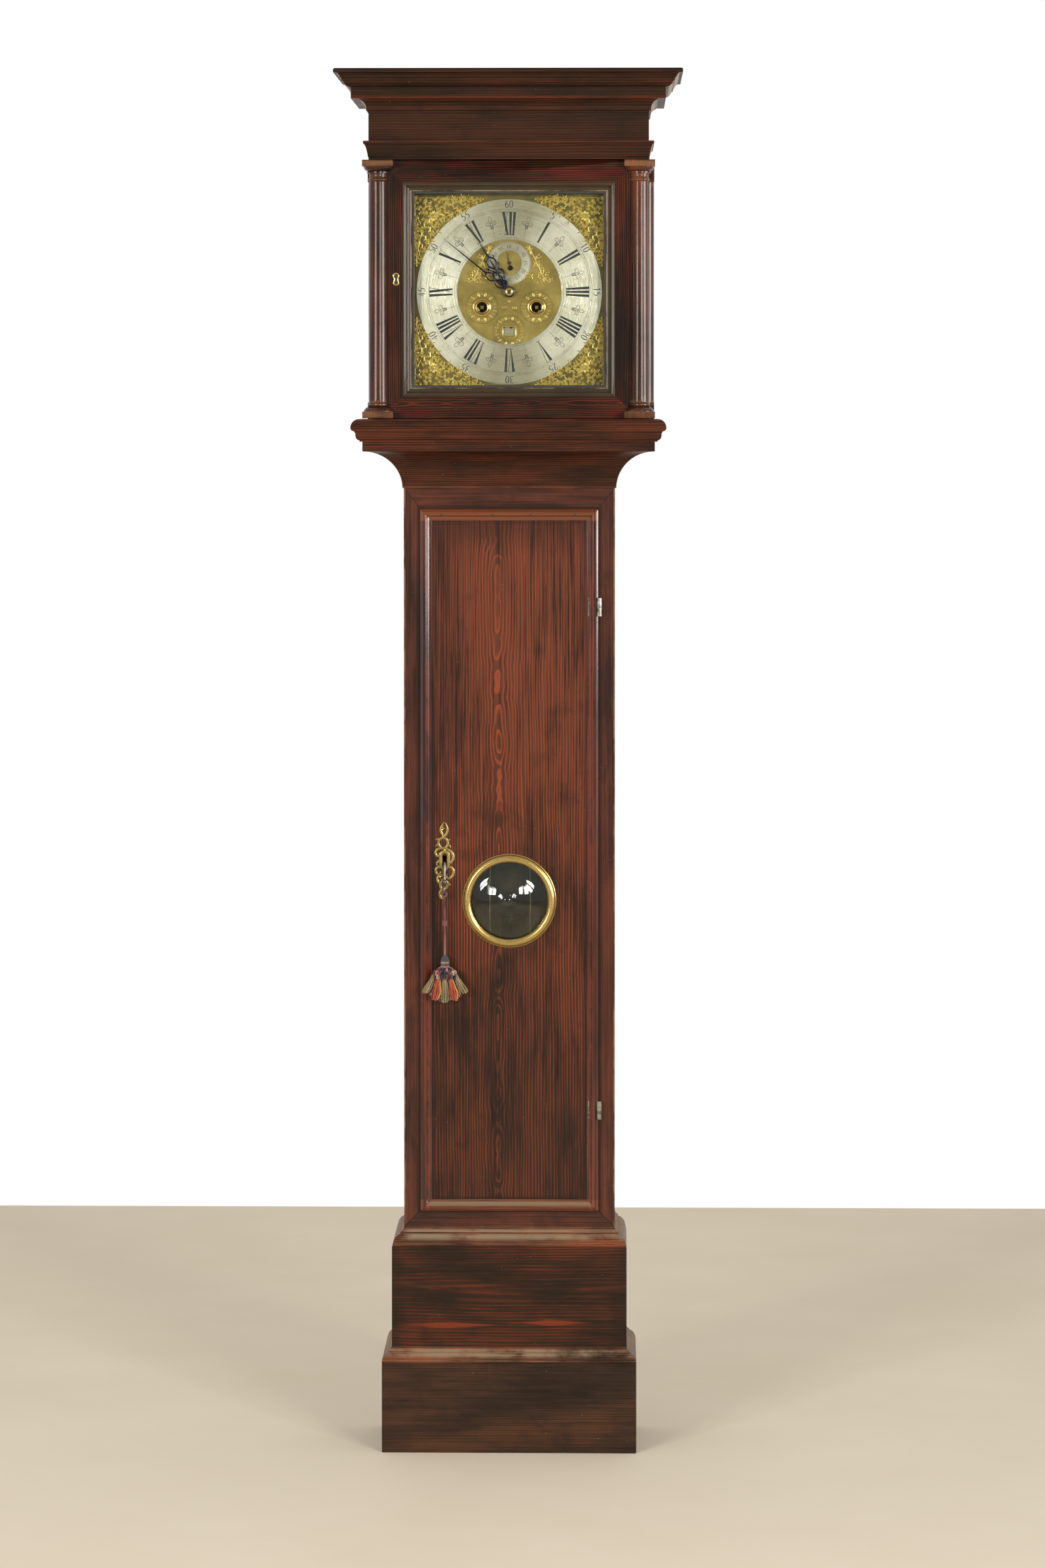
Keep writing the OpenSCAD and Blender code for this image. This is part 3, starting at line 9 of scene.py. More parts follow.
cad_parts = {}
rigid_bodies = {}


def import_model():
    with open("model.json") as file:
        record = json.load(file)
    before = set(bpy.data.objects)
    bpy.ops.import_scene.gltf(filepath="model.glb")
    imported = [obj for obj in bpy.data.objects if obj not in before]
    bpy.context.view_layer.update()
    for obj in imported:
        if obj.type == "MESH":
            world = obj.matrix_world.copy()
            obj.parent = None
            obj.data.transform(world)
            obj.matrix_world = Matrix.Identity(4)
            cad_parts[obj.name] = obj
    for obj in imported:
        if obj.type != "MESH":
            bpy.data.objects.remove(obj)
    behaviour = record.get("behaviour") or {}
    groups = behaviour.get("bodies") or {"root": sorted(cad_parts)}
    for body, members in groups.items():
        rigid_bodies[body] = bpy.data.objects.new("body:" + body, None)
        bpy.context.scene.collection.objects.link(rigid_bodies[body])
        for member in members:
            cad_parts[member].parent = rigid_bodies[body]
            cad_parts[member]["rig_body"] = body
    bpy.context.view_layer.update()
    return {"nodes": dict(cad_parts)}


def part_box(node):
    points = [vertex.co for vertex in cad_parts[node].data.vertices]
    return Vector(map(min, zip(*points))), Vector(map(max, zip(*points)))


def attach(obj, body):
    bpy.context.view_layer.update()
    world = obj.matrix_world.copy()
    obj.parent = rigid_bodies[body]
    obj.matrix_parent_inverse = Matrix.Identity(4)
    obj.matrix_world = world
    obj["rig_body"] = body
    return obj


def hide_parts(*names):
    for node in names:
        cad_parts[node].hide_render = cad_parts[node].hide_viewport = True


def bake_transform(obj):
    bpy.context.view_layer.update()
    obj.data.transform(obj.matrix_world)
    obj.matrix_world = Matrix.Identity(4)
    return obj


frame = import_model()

mm = 0.001
scene = bpy.context.scene
scene.view_settings.view_transform = "Standard"
print("frame loaded:", len(frame["nodes"]), "nodes")


# Camera: at the height of the hood's foot and a little right of the middle, as in the photograph
camera = {
    "place": (150, -7103, 1600),  # millimetres
    "dip": 1.56,  # degrees down
    "turn": 1.05,  # degrees to the left
    "lens": 105,
    "sensor": 36,
    "rise": -0.153,  # lens shift, as on a view camera
    "sight": (0.1, 60),  # nearest and farthest, in metres
}


def addCamera(settings):
    data = bpy.data.cameras.new("studioCamera")
    data.lens, data.sensor_width, data.shift_y = settings["lens"], settings["sensor"], settings["rise"]
    data.clip_start, data.clip_end = settings["sight"]
    made = bpy.data.objects.new("studioCamera", data)
    made.location = [v * mm for v in settings["place"]]
    made.rotation_euler = (math.radians(90 - settings["dip"]), 0, math.radians(settings["turn"]))
    scene.collection.objects.link(made)
    scene.camera = made


addCamera(camera)
print("camera placed")


# Shader sums: a socket that takes part in Python expressions
class Wire:
    def __init__(self, socket):
        self.socket = socket

    def calc(self, operation, *values):
        node = self.socket.id_data.nodes.new("ShaderNodeMath")
        node.operation = operation
        for place, value in enumerate(values):
            join(value, node.inputs[place])
        return Wire(node.outputs[0])

    def __add__(self, other):
        return self.calc("ADD", self, other)

    def __mul__(self, other):
        return self.calc("MULTIPLY", self, other)

    def __sub__(self, other):
        return self.calc("SUBTRACT", self, other)

    def __rsub__(self, other):
        return self.calc("SUBTRACT", other, self)

    def __truediv__(self, other):
        return self.calc("DIVIDE", self, other)

    def __pow__(self, other):
        return self.calc("POWER", self, other)

    def __abs__(self):
        return self.calc("ABSOLUTE", self)

    def least(self, other):
        return self.calc("MINIMUM", self, other)

    def most(self, other):
        return self.calc("MAXIMUM", self, other)

    def part(self):
        return self.calc("FRACT", self)

    __radd__ = __add__
    __rmul__ = __mul__


def join(value, socket):
    if isinstance(value, Wire):
        socket.id_data.links.new(value.socket, socket)
    elif isinstance(value, (tuple, list)) and len(value) == 3 and socket.type == "RGBA":
        socket.default_value = (*value, 1)
    else:
        socket.default_value = value


def tint(red, green, blue):
    # a colour as read off a picture, 0 to 255, turned to the linear values that a shader takes
    def linear(v):
        v /= 255
        return v / 12.92 if v < 0.04045 else ((v + 0.055) / 1.055) ** 2.4
    return linear(red), linear(green), linear(blue)


# A material and the few recipes that the finishes share
class Finish:
    def __init__(self, name, constants):
        self.material = bpy.data.materials.new(name)
        self.material.use_nodes = True
        self.tree = self.material.node_tree
        self.shader = self.tree.nodes["Principled BSDF"]
        for socket, value in constants.items():
            join(value, self.shader.inputs[socket])
        self.point = self.node("TexCoord", out="Object")
        split = self.node("SeparateXYZ", inputs={"Vector": self.point})
        outputs = split.socket.node.outputs
        self.x, self.y, self.z = (Wire(outputs[i]) for i in range(3))

    def node(self, kind, settings=None, inputs=None, out=0):
        made = self.tree.nodes.new("ShaderNode" + kind)
        for key, value in (settings or {}).items():
            if key == "stops":
                elements = made.color_ramp.elements
                while len(elements) < len(value):
                    elements.new(0.5)
                for element, (position, colour) in zip(elements, value):
                    element.position, element.color = position, (*colour, 1)
            else:
                setattr(made, key, value)
        for key, value in (inputs or {}).items():
            join(value, made.inputs[key])
        return Wire(made.outputs[out])

    def vector(self, x, y, z):
        return self.node("CombineXYZ", inputs={"X": x, "Y": y, "Z": z})

    def noise(self, vector, scale, detail=3, rough=0.55):
        values = {"Vector": vector, "Scale": scale, "Detail": detail, "Roughness": rough}
        return self.node("TexNoise", inputs=values)

    def cells(self, vector, scale):
        return self.node("TexVoronoi", inputs={"Vector": vector, "Scale": scale}, out="Distance")

    def step(self, value, low, high):
        values = {"Value": value, "From Min": low, "From Max": high}
        return self.node("MapRange", {"interpolation_type": "SMOOTHSTEP"}, values)

    def ramp(self, value, stops):
        return self.node("ValToRGB", {"stops": stops}, {"Fac": value})

    def mix(self, factor, first, second):
        return self.node("Mix", {"data_type": "RGBA"}, {0: factor, 6: first, 7: second}, 2)

    def bump(self, height, strength, depth):
        values = {"Height": height, "Strength": strength, "Distance": depth}
        join(self.node("Bump", inputs=values), self.shader.inputs["Normal"])

    def facing(self, axis):
        normal = self.node("NewGeometry", out="Normal")
        return Wire(self.node("SeparateXYZ", inputs={"Vector": normal}).socket.node.outputs[axis])

    def upward(self):
        return self.facing(2)

    def sideways(self):
        return self.facing(0)

    def set(self, **sockets):
        names = {"colour": "Base Color", "rough": "Roughness", "metal": "Metallic", "coat": "Coat Weight"}
        for key, value in sockets.items():
            join(value, self.shader.inputs[names[key]])
        return self.material


# Shapes gathered into one mesh, in millimetres
class Stock:
    def __init__(self, origin=(0, 0, 0)):
        self.origin = origin
        self.points, self.faces, self.kinds = [], [], []

    def add(self, points, faces, kind=0):
        start = len(self.points)
        self.points += [tuple((c + o) * mm for c, o in zip(p, self.origin)) for p in points]
        self.faces += [[start + i for i in face] for face in faces]
        self.kinds += [kind] * len(faces)

    def skin(self, rings, kind=0, caps=True, around=False):
        n, count = len(rings[0]), len(rings)
        faces = []
        for i in range(count if around else count - 1):
            low, high = i * n, (i + 1) % count * n
            for k in range(n):
                m = (k + 1) % n
                faces.append((low + k, low + m, high + m, high + k))
        if caps and not around:
            faces += [tuple(reversed(range(n))), tuple((count - 1) * n + k for k in range(n))]
        self.add([p for ring in rings for p in ring], faces, kind)

    def turned(self, profile, at=(0, 0, 0), axis="y", steps=48, kind=0):
        # profile: (radius, distance along the axis); towards the viewer is minus y
        rings = []
        for i in range(steps):
            a = 2 * math.pi * i / steps
            c, s = math.cos(a), math.sin(a)
            ring = [(r * c, h, r * s) if axis == "y" else (r * c, r * s, h) for r, h in profile]
            rings.append([tuple(v + o for v, o in zip(p, at)) for p in ring])
        self.skin(rings, kind, around=True)

    def tube(self, path, radius, sides=8, kind=0):
        path = [Vector(p) for p in path]
        widths = radius if isinstance(radius, (list, tuple)) else [radius] * len(path)
        side, rings = None, []
        for i, p in enumerate(path):
            ahead = (path[min(i + 1, len(path) - 1)] - path[max(i - 1, 0)]).normalized()
            if side is None:
                side = ahead.orthogonal().normalized()
            side = (side - ahead * side.dot(ahead)).normalized()
            up = ahead.cross(side)
            angles = [2 * math.pi * k / sides for k in range(sides)]
            rings.append([p + (side * math.cos(a) + up * math.sin(a)) * widths[i] for a in angles])
        self.skin(rings, kind)

    def strap(self, path, widths, back, proud, kind=0, domed=True):
        # a band along (x, z) points, flat behind at y = back and domed towards the viewer
        form = [(-1, 0), (-1, 0.4), (-0.55, 0.85), (0, 1), (0.55, 0.85), (1, 0.4), (1, 0)]
        form = form if domed else [(-1, 0), (-1, 1), (1, 1), (1, 0)]
        widths = widths if isinstance(widths, (list, tuple)) else [widths] * len(path)
        rings = []
        for i, (x, z) in enumerate(path):
            x0, z0 = path[max(i - 1, 0)]
            x1, z1 = path[min(i + 1, len(path) - 1)]
            length = math.hypot(x1 - x0, z1 - z0) or 1
            nx, nz = (z1 - z0) / length, -(x1 - x0) / length
            w = widths[i]
            rise = proud * min(1, 0.35 + w) if domed else proud
            rings.append([(x + nx * w * s, back - rise * t, z + nz * w * s) for s, t in form])
        self.skin(rings, kind)

    def slab(self, outline, front, back, kind=0):
        n = len(outline)
        points = [(x, front, z) for x, z in outline] + [(x, back, z) for x, z in outline]
        faces = [tuple(range(n)), tuple(reversed(range(n, 2 * n)))]
        faces += [(k, (k + 1) % n, (k + 1) % n + n, k + n) for k in range(n)]
        self.add(points, faces, kind)

    def board(self, low, high, kind=0):
        (x0, y0, z0), (x1, y1, z1) = low, high
        self.slab([(x0, z0), (x1, z0), (x1, z1), (x0, z1)], y0, y1, kind)

    def dome(self, at, radius, proud, kind=0, steps=12):
        profile = [(radius, 0), (radius * 0.92, -proud * 0.5), (radius * 0.6, -proud * 0.88), (0.02, -proud)]
        self.turned(profile + [(0.02, 0)], at, "y", steps, kind)

    def mirrored(self):
        # adds the mirror image, left to right, of all that is gathered so far
        start, count = len(self.points), len(self.faces)
        self.points += [(2 * self.origin[0] * mm - x, y, z) for x, y, z in self.points]
        self.faces += [[start + i for i in reversed(face)] for face in self.faces[:count]]
        self.kinds += self.kinds[:count]

    def make(self, name, body, finishes, replaces=(), slot=None, sharp=32, bevel=0):
        mesh = bpy.data.meshes.new(name)
        mesh.from_pydata(self.points, [], self.faces)
        work = bmesh.new()
        work.from_mesh(mesh)
        for face, kind in zip(work.faces, self.kinds):
            face.material_index = kind
        bmesh.ops.remove_doubles(work, verts=work.verts, dist=1e-6)
        bmesh.ops.dissolve_degenerate(work, dist=1e-6, edges=work.edges)
        bmesh.ops.recalc_face_normals(work, faces=work.faces)
        work.to_mesh(mesh)
        work.free()
        return place(name, mesh, body, finishes, replaces, slot, sharp, bevel)


wear = {"segments": 2, "edge": 32}  # of a rubbed edge; an edge sharper than this many degrees counts


def place(name, mesh, body, finishes, replaces, slot, sharp, bevel):
    for finish in finishes:
        mesh.materials.append(finish)
    mesh.shade_smooth()
    mesh.set_sharp_from_angle(angle=math.radians(sharp))
    made = bpy.data.objects.new(name, mesh)
    scene.collection.objects.link(made)
    if bevel:  # large flat faces keep their own normal
        worn = made.modifiers.new("wornEdges", "BEVEL")
        worn.width, worn.segments, worn.limit_method = bevel * mm, wear["segments"], "ANGLE"
        worn.angle_limit, worn.harden_normals = math.radians(wear["edge"]), True
        made.modifiers.new("flatFaces", "WEIGHTED_NORMAL").keep_sharp = True
    if body:
        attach(made, body)
    if replaces:
        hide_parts(*replaces)
    return made


def middleOf(node):
    low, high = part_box(node)
    return [(a + b) / 2 for a, b in zip(low, high)]


def islands(work):
    # the separate solids of a mesh, as lists of faces
    left = set(work.faces)
    while left:
        heap, solid = [left.pop()], []
        while heap:
            face = heap.pop()
            solid.append(face)
            for edge in face.edges:
                for other in edge.link_faces:
                    if other in left:
                        left.remove(other)
                        heap.append(other)
        yield solid


def dressed(node, finishes, slot, bevel=0.6, sharp=32, mitres=(), lying=None, rides=True):
    # a CAD piece with cleaned faces and softly worn edges; the finishes are for boards along x, y and z
    source = frame["nodes"][node]
    work = bmesh.new()
    work.from_mesh(source.data)
    bmesh.ops.remove_doubles(work, verts=work.verts, dist=2e-6)
    bmesh.ops.dissolve_limit(work, angle_limit=math.radians(0.6), verts=work.verts, edges=work.edges)
    for (x0, z0), (x1, z1) in mitres:
        everything = work.verts[:] + work.edges[:] + work.faces[:]
        bmesh.ops.bisect_plane(work, geom=everything, plane_co=(x0 * mm, 0, z0 * mm),
                               plane_no=Vector((z1 - z0, 0, x0 - x1)).normalized())
    for solid in islands(work):
        corners = [v.co for face in solid for v in face.verts]
        size = [max(c[i] for c in corners) - min(c[i] for c in corners) for i in range(3)]
        longest = size.index(max(size))
        for face in solid:
            centre = face.calc_center_median() / mm
            face.material_index = (0 if lying(centre.x, centre.z) else 2) if lying else longest
    bmesh.ops.recalc_face_normals(work, faces=work.faces)
    mesh = bpy.data.meshes.new(node + "_worn")
    work.to_mesh(mesh)
    work.free()
    return place(node + "_worn", mesh, rides and source["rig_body"], finishes, (node,), slot, sharp, bevel)


def mitred(halfOuter, lowOuter, highOuter, halfInner, lowInner, highInner):
    # mitre lines of a frame, and the test for its lying rails
    lines = [((side * halfOuter, a), (side * halfInner, b)) for side in (-1, 1)
             for a, b in ((highOuter, highInner), (lowOuter, lowInner))]
    up = (highOuter - highInner) / (halfOuter - halfInner)
    down = (lowInner - lowOuter) / (halfOuter - halfInner)

    def lying(x, z):
        past = max(abs(x) - halfInner, 0)
        return z > highInner + past * up or z < lowInner - past * down
    return {"mitres": lines, "lying": lying}


def coat(nodes, material):
    # CAD pieces whose shape is right keep it and get a better finish
    for name in nodes:
        mesh = frame["nodes"][name].data
        mesh.materials.clear()
        mesh.materials.append(material)


# Lines and curves in the plane of the dial, as (x, z) in millimetres
def polar(radius, clock):
    a = math.radians(clock)
    return radius * math.sin(a), radius * math.cos(a)


def smoothLine(points, steps=6):
    # a smooth curve through points of two or three coordinates
    ends = [points[0], *points, points[-1]]
    line = []
    for i in range(1, len(ends) - 2):
        a, b, c, d = ends[i - 1:i + 3]
        for k in range(steps):
            t = k / steps
            line.append(tuple(0.5 * (2 * q + (r - p) * t + (2 * p - 5 * q + 4 * r - s) * t * t
                                     + (3 * q - p - 3 * r + s) * t ** 3) for p, q, r, s in zip(a, b, c, d)))
    return line + [tuple(points[-1])]


def spreadWidths(widths, count):
    # widths given for a few places along a line, spread evenly over all its points
    spread = []
    for i in range(count):
        t = i / (count - 1) * (len(widths) - 1)
        k = min(int(t), len(widths) - 2)
        spread.append(widths[k] + (widths[k + 1] - widths[k]) * (t - k))
    return spread


def curl(start, heading, length, turnStart, turnEnd, steps):
    # a line that starts at a heading and curls ever tighter; turns are degrees over the whole length
    x, z = start
    line, a = [(x, z)], heading
    for i in range(steps):
        t = i / (steps - 1)
        a += (turnStart + (turnEnd - turnStart) * t) / steps
        x += math.cos(math.radians(a)) * length / steps
        z += math.sin(math.radians(a)) * length / steps
        line.append((x, z))
    return line


print("tools ready")


# Wood: stained and polished, with year rings, fibres, grime and painted shade at the edges and dust on top
woodShine = {
    "Specular IOR Level": 0.12, "Specular Tint": (1, 0.74, 0.56, 1), "Coat Roughness": 0.14, "Coat IOR": 1.5,
}
woodLook = {
    "dark": tint(40, 24, 18), "mid": tint(66, 34, 22), "warm": tint(96, 44, 26),
    "line": tint(150, 60, 30), "lineShare": 0.6, "lineGap": 3.1,  # the gap in millimetres
    "heart": (-17, 60), "wobble": 5, "roll": 0,  # of the year rings, in millimetres
    "tilt": 0.012,  # how far their heart leans out of the board per length
    "grime": tint(24, 21, 20), "edge": 7, "edgeShare": 0.75,
    "dust": tint(150, 128, 100), "dustShare": 0.0, "specks": 0.5,
    "rough": 0.38, "coat": 0.15, "depth": 0.35, "streaks": 0.5, "patches": 1.0, "hair": 0.5,
}


def grainAxes(f, grain):
    # along the board, across its face, into it
    return {"x": (f.x, f.z, f.y), "y": (f.y, f.z, f.x), "z": (f.z, f.x, f.y)}[grain]


def wood(name, grain, box=None, shade=None, **changes):
    look = {**woodLook, **changes}
    f = Finish(name, woodShine)
    along, across, deep = grainAxes(f, grain)
    slow = f.noise(f.vector(along * 2.4, across * 11, deep * 11), 1, 2)
    heartAcross, heartDeep = (v * mm for v in look["heart"])
    sideways = across - heartAcross + (slow - 0.5) * (look["wobble"] * mm * 2)
    roll = f.noise(f.vector(along * 7, across * 5, deep * 5), 1, 3) - 0.5
    inward = deep + heartDeep + along * look["tilt"] + roll * (look["roll"] * mm)
    rings = (sideways * sideways + inward * inward) ** 0.5 / (look["lineGap"] * mm)
    rings = rings + f.noise(f.vector(along * 5, across * 60, deep * 60), 1, 2) * 1.2
    saw = rings.part()
    line = f.step(saw, 0.45, 0.86) * (1 - f.step(saw, 0.88, 1))
    fine = f.noise(f.vector(along * 7, across * 420, deep * 420), 1, 3, 0.6)
    hair = f.step(f.noise(f.vector(along * 4, across * 640, deep * 640), 1, 3, 0.55), 0.47, 0.6)
    fibre = f.noise(f.vector(along * 20, across * 1300, deep * 1300), 1, 2, 0.6)
    patch = f.noise(f.vector(along * 5, across * 20, deep * 20), look["patches"], 4, 0.6)
    blotch = f.noise(f.point, 16, 4, 0.6)
    depth = patch + (fine - 0.5) * look["streaks"] + (fibre - 0.5) * look["streaks"] * 0.6
    colour = f.ramp(depth, [(0.32, look["dark"]), (0.5, look["mid"]), (0.68, look["warm"])])
    colour = f.mix(hair * look["hair"], colour, look["dark"])
    lit = line * f.step(patch + fine * 0.4, 0.5, 0.85) * look["lineShare"]
    colour = f.mix(lit, colour, look["line"])
    colour = f.mix(f.step(blotch, 0.54, 0.72) * 0.5, colour, look["dark"])
    # painted shade and grime: darker along the border of a board, where it sits behind a moulding
    if box:  # dark along the border of a board, as (x0, z0, x1, z1) in millimetres
        x0, z0, x1, z1 = (v * mm for v in box)
        border = (f.x - x0).least(x1 - f.x).least((f.z - z0).least(z1 - f.z))
        border = border + (blotch - 0.5) * (look["edge"] * mm)
        shadeAndGrime = 1 - f.step(border, 0, look["edge"] * mm)
        colour = f.mix(shadeAndGrime * look["edgeShare"], colour, look["grime"])
    if shade:
        colour = shade(f, colour, blotch, fine)
    spots = 1 - f.step(f.cells(f.point, 75), 0.02, 0.06)
    colour = f.mix(spots * f.step(blotch, 0.45, 0.55) * look["specks"], colour, look["dust"])
    rough = look["rough"] + (blotch - 0.5) * 0.3 + (fine - 0.5) * 0.2
    if look["dustShare"]:
        lying = f.step(f.upward(), 0.2, 0.85) * f.step(blotch + fine * 0.3, 0.46, 0.72)
        colour = f.mix(lying * look["dustShare"], colour, look["dust"])
        rough = rough + lying * 0.3
    dents = f.step(f.cells(f.point, 38), 0.0, 0.08)
    f.bump(fine * 0.5 + fibre * 0.2 + dents * 0.5 - line * 0.2, look["depth"], 0.0006)
    return f.set(colour=colour, rough=rough, coat=look["coat"] * (1.3 - blotch * 0.8))


def stain(*tones):
    # colours of a wood, from its dark parts to its lit lines
    return {key: tint(*tone) for key, tone in zip(("dark", "mid", "warm", "line"), tones)}


def threeWays(name, **changes):
    # the same wood for boards that run along x, y and z
    return [wood(name + axis.upper(), axis, **changes) for axis in "xyz"]


def wornLines(lines, colour=tint(150, 68, 34), returns=0.8):
    # rubbed edges of a moulding: (height, half width, strength) in millimetres; dust and a painted sheen on
    # its side returns
    def shade(f, shown, blotch, fine):
        # painted sheen and dust: a pale colour on faces that turn to the side
        sideSheenAndDust = f.step(abs(f.sideways()), 0.25, 0.5) * f.step(blotch + fine * 0.3, 0.35, 0.6)
        shown = f.mix(sideSheenAndDust * returns, shown, tint(196, 180, 156))
        patchy = f.step(f.noise(f.vector(f.x * 14, f.y * 14, f.z * 60), 1, 3), 0.38, 0.6)
        for height, half, strength in lines:
            near = 1 - f.step(abs(f.z - height * mm), half * mm * 0.4, half * mm)
            shown = f.mix(near * (patchy * 0.7 + 0.3) * strength, shown, colour)
        return shown
    return shade


print("wood ready")


# Metals
def brassFinish(name, colour, dark, tarnish, rough, scale=60, grit=0.15, metal=0.9):
    f = Finish(name, {"Specular IOR Level": 0.5})
    cloud = f.noise(f.point, scale, 5, 0.65)
    speck = f.noise(f.point, 900, 2, 0.6)
    spots = f.step(cloud + (speck - 0.5) * 0.5, 0.62 - tarnish * 0.3, 0.8)
    shown = f.mix(spots * (0.35 + tarnish * 0.6), colour, dark)
    f.bump(speck + cloud * 0.4, grit, 0.0003)
    return f.set(colour=shown, rough=rough + spots * 0.25 + (speck - 0.5) * 0.12, metal=metal - spots * 0.25)


def dialFinish(centre):
    # plate of the dial: matted within the hour ring, plain and olive outside it
    f = Finish("dialPlateBrass", {"Specular IOR Level": 0.5})
    x, z = f.x, f.z - centre * mm
    reach = (x * x + z * z) ** 0.5
    edge = dial["ringIn"] * mm
    inside = 1 - f.step(reach, edge, edge + 1 * mm)
    punched = f.cells(f.point, 1300)
    cloud = f.noise(f.point, 26, 5, 0.6)
    speck = f.noise(f.point, 900, 2)
    matted = f.ramp(cloud, [(0.3, tint(112, 98, 48)), (0.55, tint(146, 126, 66)), (0.75, tint(168, 148, 86))])
    matted = f.mix((1 - f.step(punched, 0.1, 0.55)) * 0.35, matted, tint(80, 68, 34))
    plain = f.ramp(cloud, [(0.3, tint(86, 78, 42)), (0.6, tint(124, 111, 62)), (0.8, tint(150, 134, 76))])
    f.bump(punched * inside + speck * 0.2, 0.35, 0.0004)
    shown = f.mix(inside, plain, matted)
    return f.set(colour=shown, rough=0.4 + inside * 0.12 + (speck - 0.5) * 0.15, metal=0.82)


def silverFinish(centre):
    # silvered brass, brushed round the centre, with yellowed spots and a painted sheen that is bright at the
    # sides and olive at top and bottom
    f = Finish("silveredRing", {"Specular IOR Level": 0.5})
    x, z = f.x, f.z - centre * mm
    reach = (x * x + z * z) ** 0.5
    cloud = f.noise(f.point, 20, 4, 0.6)
    brushed = f.noise(f.vector(reach * 700, f.x * 25, f.z * 25), 1, 3, 0.7)
    speck = f.noise(f.point, 700, 2)
    shown = f.ramp(cloud + (brushed - 0.5) * 0.3,
                   [(0.3, tint(206, 200, 170)), (0.55, tint(226, 221, 197)), (0.8, tint(240, 237, 219))])
    # painted sheen: darker olive towards top and bottom, brighter at the sides where the side lamps would
    # catch the brushing
    tone = 1 - f.step(abs(x) / reach + (cloud - 0.5) * 0.3, 0.1, 0.8)
    shown = f.mix(tone * 0.8, shown, tint(158, 151, 119))
    shown = f.mix(f.step(cloud + speck * 0.25, 0.72, 0.9) * 0.6, shown, tint(166, 148, 104))
    f.bump(brushed + speck * 0.15, 0.4, 0.0006)
    return f.set(colour=shown, rough=0.3 + (brushed - 0.5) * 0.2 + (cloud - 0.5) * 0.1, metal=0.6)


def plainFinish(name, colour, dark, rough, metal, scale, grit):
    f = Finish(name, {"Specular IOR Level": 0.4})
    cloud = f.noise(f.point, scale, 5, 0.6)
    speck = f.noise(f.point, scale * 14, 2)
    f.bump(cloud + speck * 0.6, grit, 0.0004)
    shown = f.mix(f.step(cloud + (speck - 0.5) * 0.4, 0.35, 0.75), colour, dark)
    return f.set(colour=shown, rough=rough + (speck - 0.5) * 0.2, metal=metal)


def wheelFinish(name, x, z):
    # a brass wheel on its steel arbor
    f = Finish(name, {"Specular IOR Level": 0.5})
    dx, dz = f.x - x * mm, f.z - z * mm
    steel = 1 - f.step((dx * dx + dz * dz) ** 0.5, 0.0042, 0.0045)
    speck = f.noise(f.point, 500, 3)
    cloud = f.noise(f.point, 60, 3)
    brass = f.mix(f.step(cloud, 0.5, 0.8) * 0.6, tint(196, 158, 84), tint(120, 92, 44))
    f.bump(speck, 0.08, 0.0002)
    shown = f.mix(steel, brass, f.mix(cloud, tint(110, 110, 112), tint(56, 54, 52)))
    return f.set(colour=shown, rough=0.26 + speck * 0.15, metal=0.95)


def clearGlass():
    # the flat pane of the hood: see-through, with a sheen at a slant
    f = Finish("hoodGlass", {"Roughness": 0.04})
    film = f.step(f.noise(f.point, 24, 5, 0.6), 0.55, 0.9)
    through = f.node("BsdfTransparent", inputs={"Color": (0.97, 0.98, 0.97, 1)})
    gloss = f.node("BsdfGlossy", inputs={"Roughness": 0.05})
    sheen = f.node("Fresnel", inputs={"IOR": 1.25}) * 0.8 + film * 0.015
    both = f.node("MixShader", inputs={0: sheen, 1: through, 2: gloss})
    join(both, f.tree.nodes["Material Output"].inputs[0])
    return f.material


def bullseyeGlass():
    # hand-blown, so it carries seeds and a slow wave
    f = Finish("bullseyeGlass", {"Transmission Weight": 1.0, "IOR": 1.46, "Specular IOR Level": 0.6})
    wave = f.noise(f.point, 30, 2)
    seed = 1 - f.step(f.cells(f.point, 170), 0.02, 0.09)
    f.bump(wave + seed * 0.3, 0.05, 0.0008)
    shown = f.mix(f.step(wave, 0.4, 0.8), tint(226, 230, 214), tint(206, 212, 190))
    return f.set(colour=shown, rough=0.03 + seed * 0.06)


def threadFinish(name, colours, pitch):
    # twisted silk: fine slanting strands in several colours, with painted shade between them
    f = Finish(name, {"Specular IOR Level": 0.25, "Sheen Weight": 0.25, "Sheen Roughness": 0.5})
    strand = (f.z * pitch * 1.4 + f.x * pitch + f.y * pitch * 0.6 + f.noise(f.point, 120, 2) * 3).part()
    dye = f.noise(f.vector(f.x * 90, f.y * 90, f.z * 14), 1, 2, 0.7)
    stops = [(0.28 + 0.44 * i / max(1, len(colours) - 1), c) for i, c in enumerate(colours)]
    shown = f.ramp(dye, stops)
    # painted shade in the gaps between the strands
    shown = f.mix((1 - f.step(strand, 0.1, 0.5)) * 0.55, shown, tint(24, 18, 20))
    f.bump(f.step(strand, 0.0, 0.5) + f.noise(f.point, 2400, 2) * 0.5, 0.6, 0.0005)
    return f.set(colour=shown, rough=0.85 + dye * 0.1)


agedBrass = brassFinish("agedBrass", tint(146, 126, 74), tint(74, 62, 38), 0.6, 0.36, metal=0.75)
dullBrass = brassFinish("dullBrass", tint(84, 74, 48), tint(40, 36, 26), 0.6, 0.5)
brightBrass = brassFinish("brightBrass", tint(214, 182, 104), tint(120, 96, 48), 0.2, 0.2)
giltBrass = brassFinish("giltBrass", tint(220, 198, 116), tint(140, 118, 58), 0.35, 0.34, 90, metal=0.6)
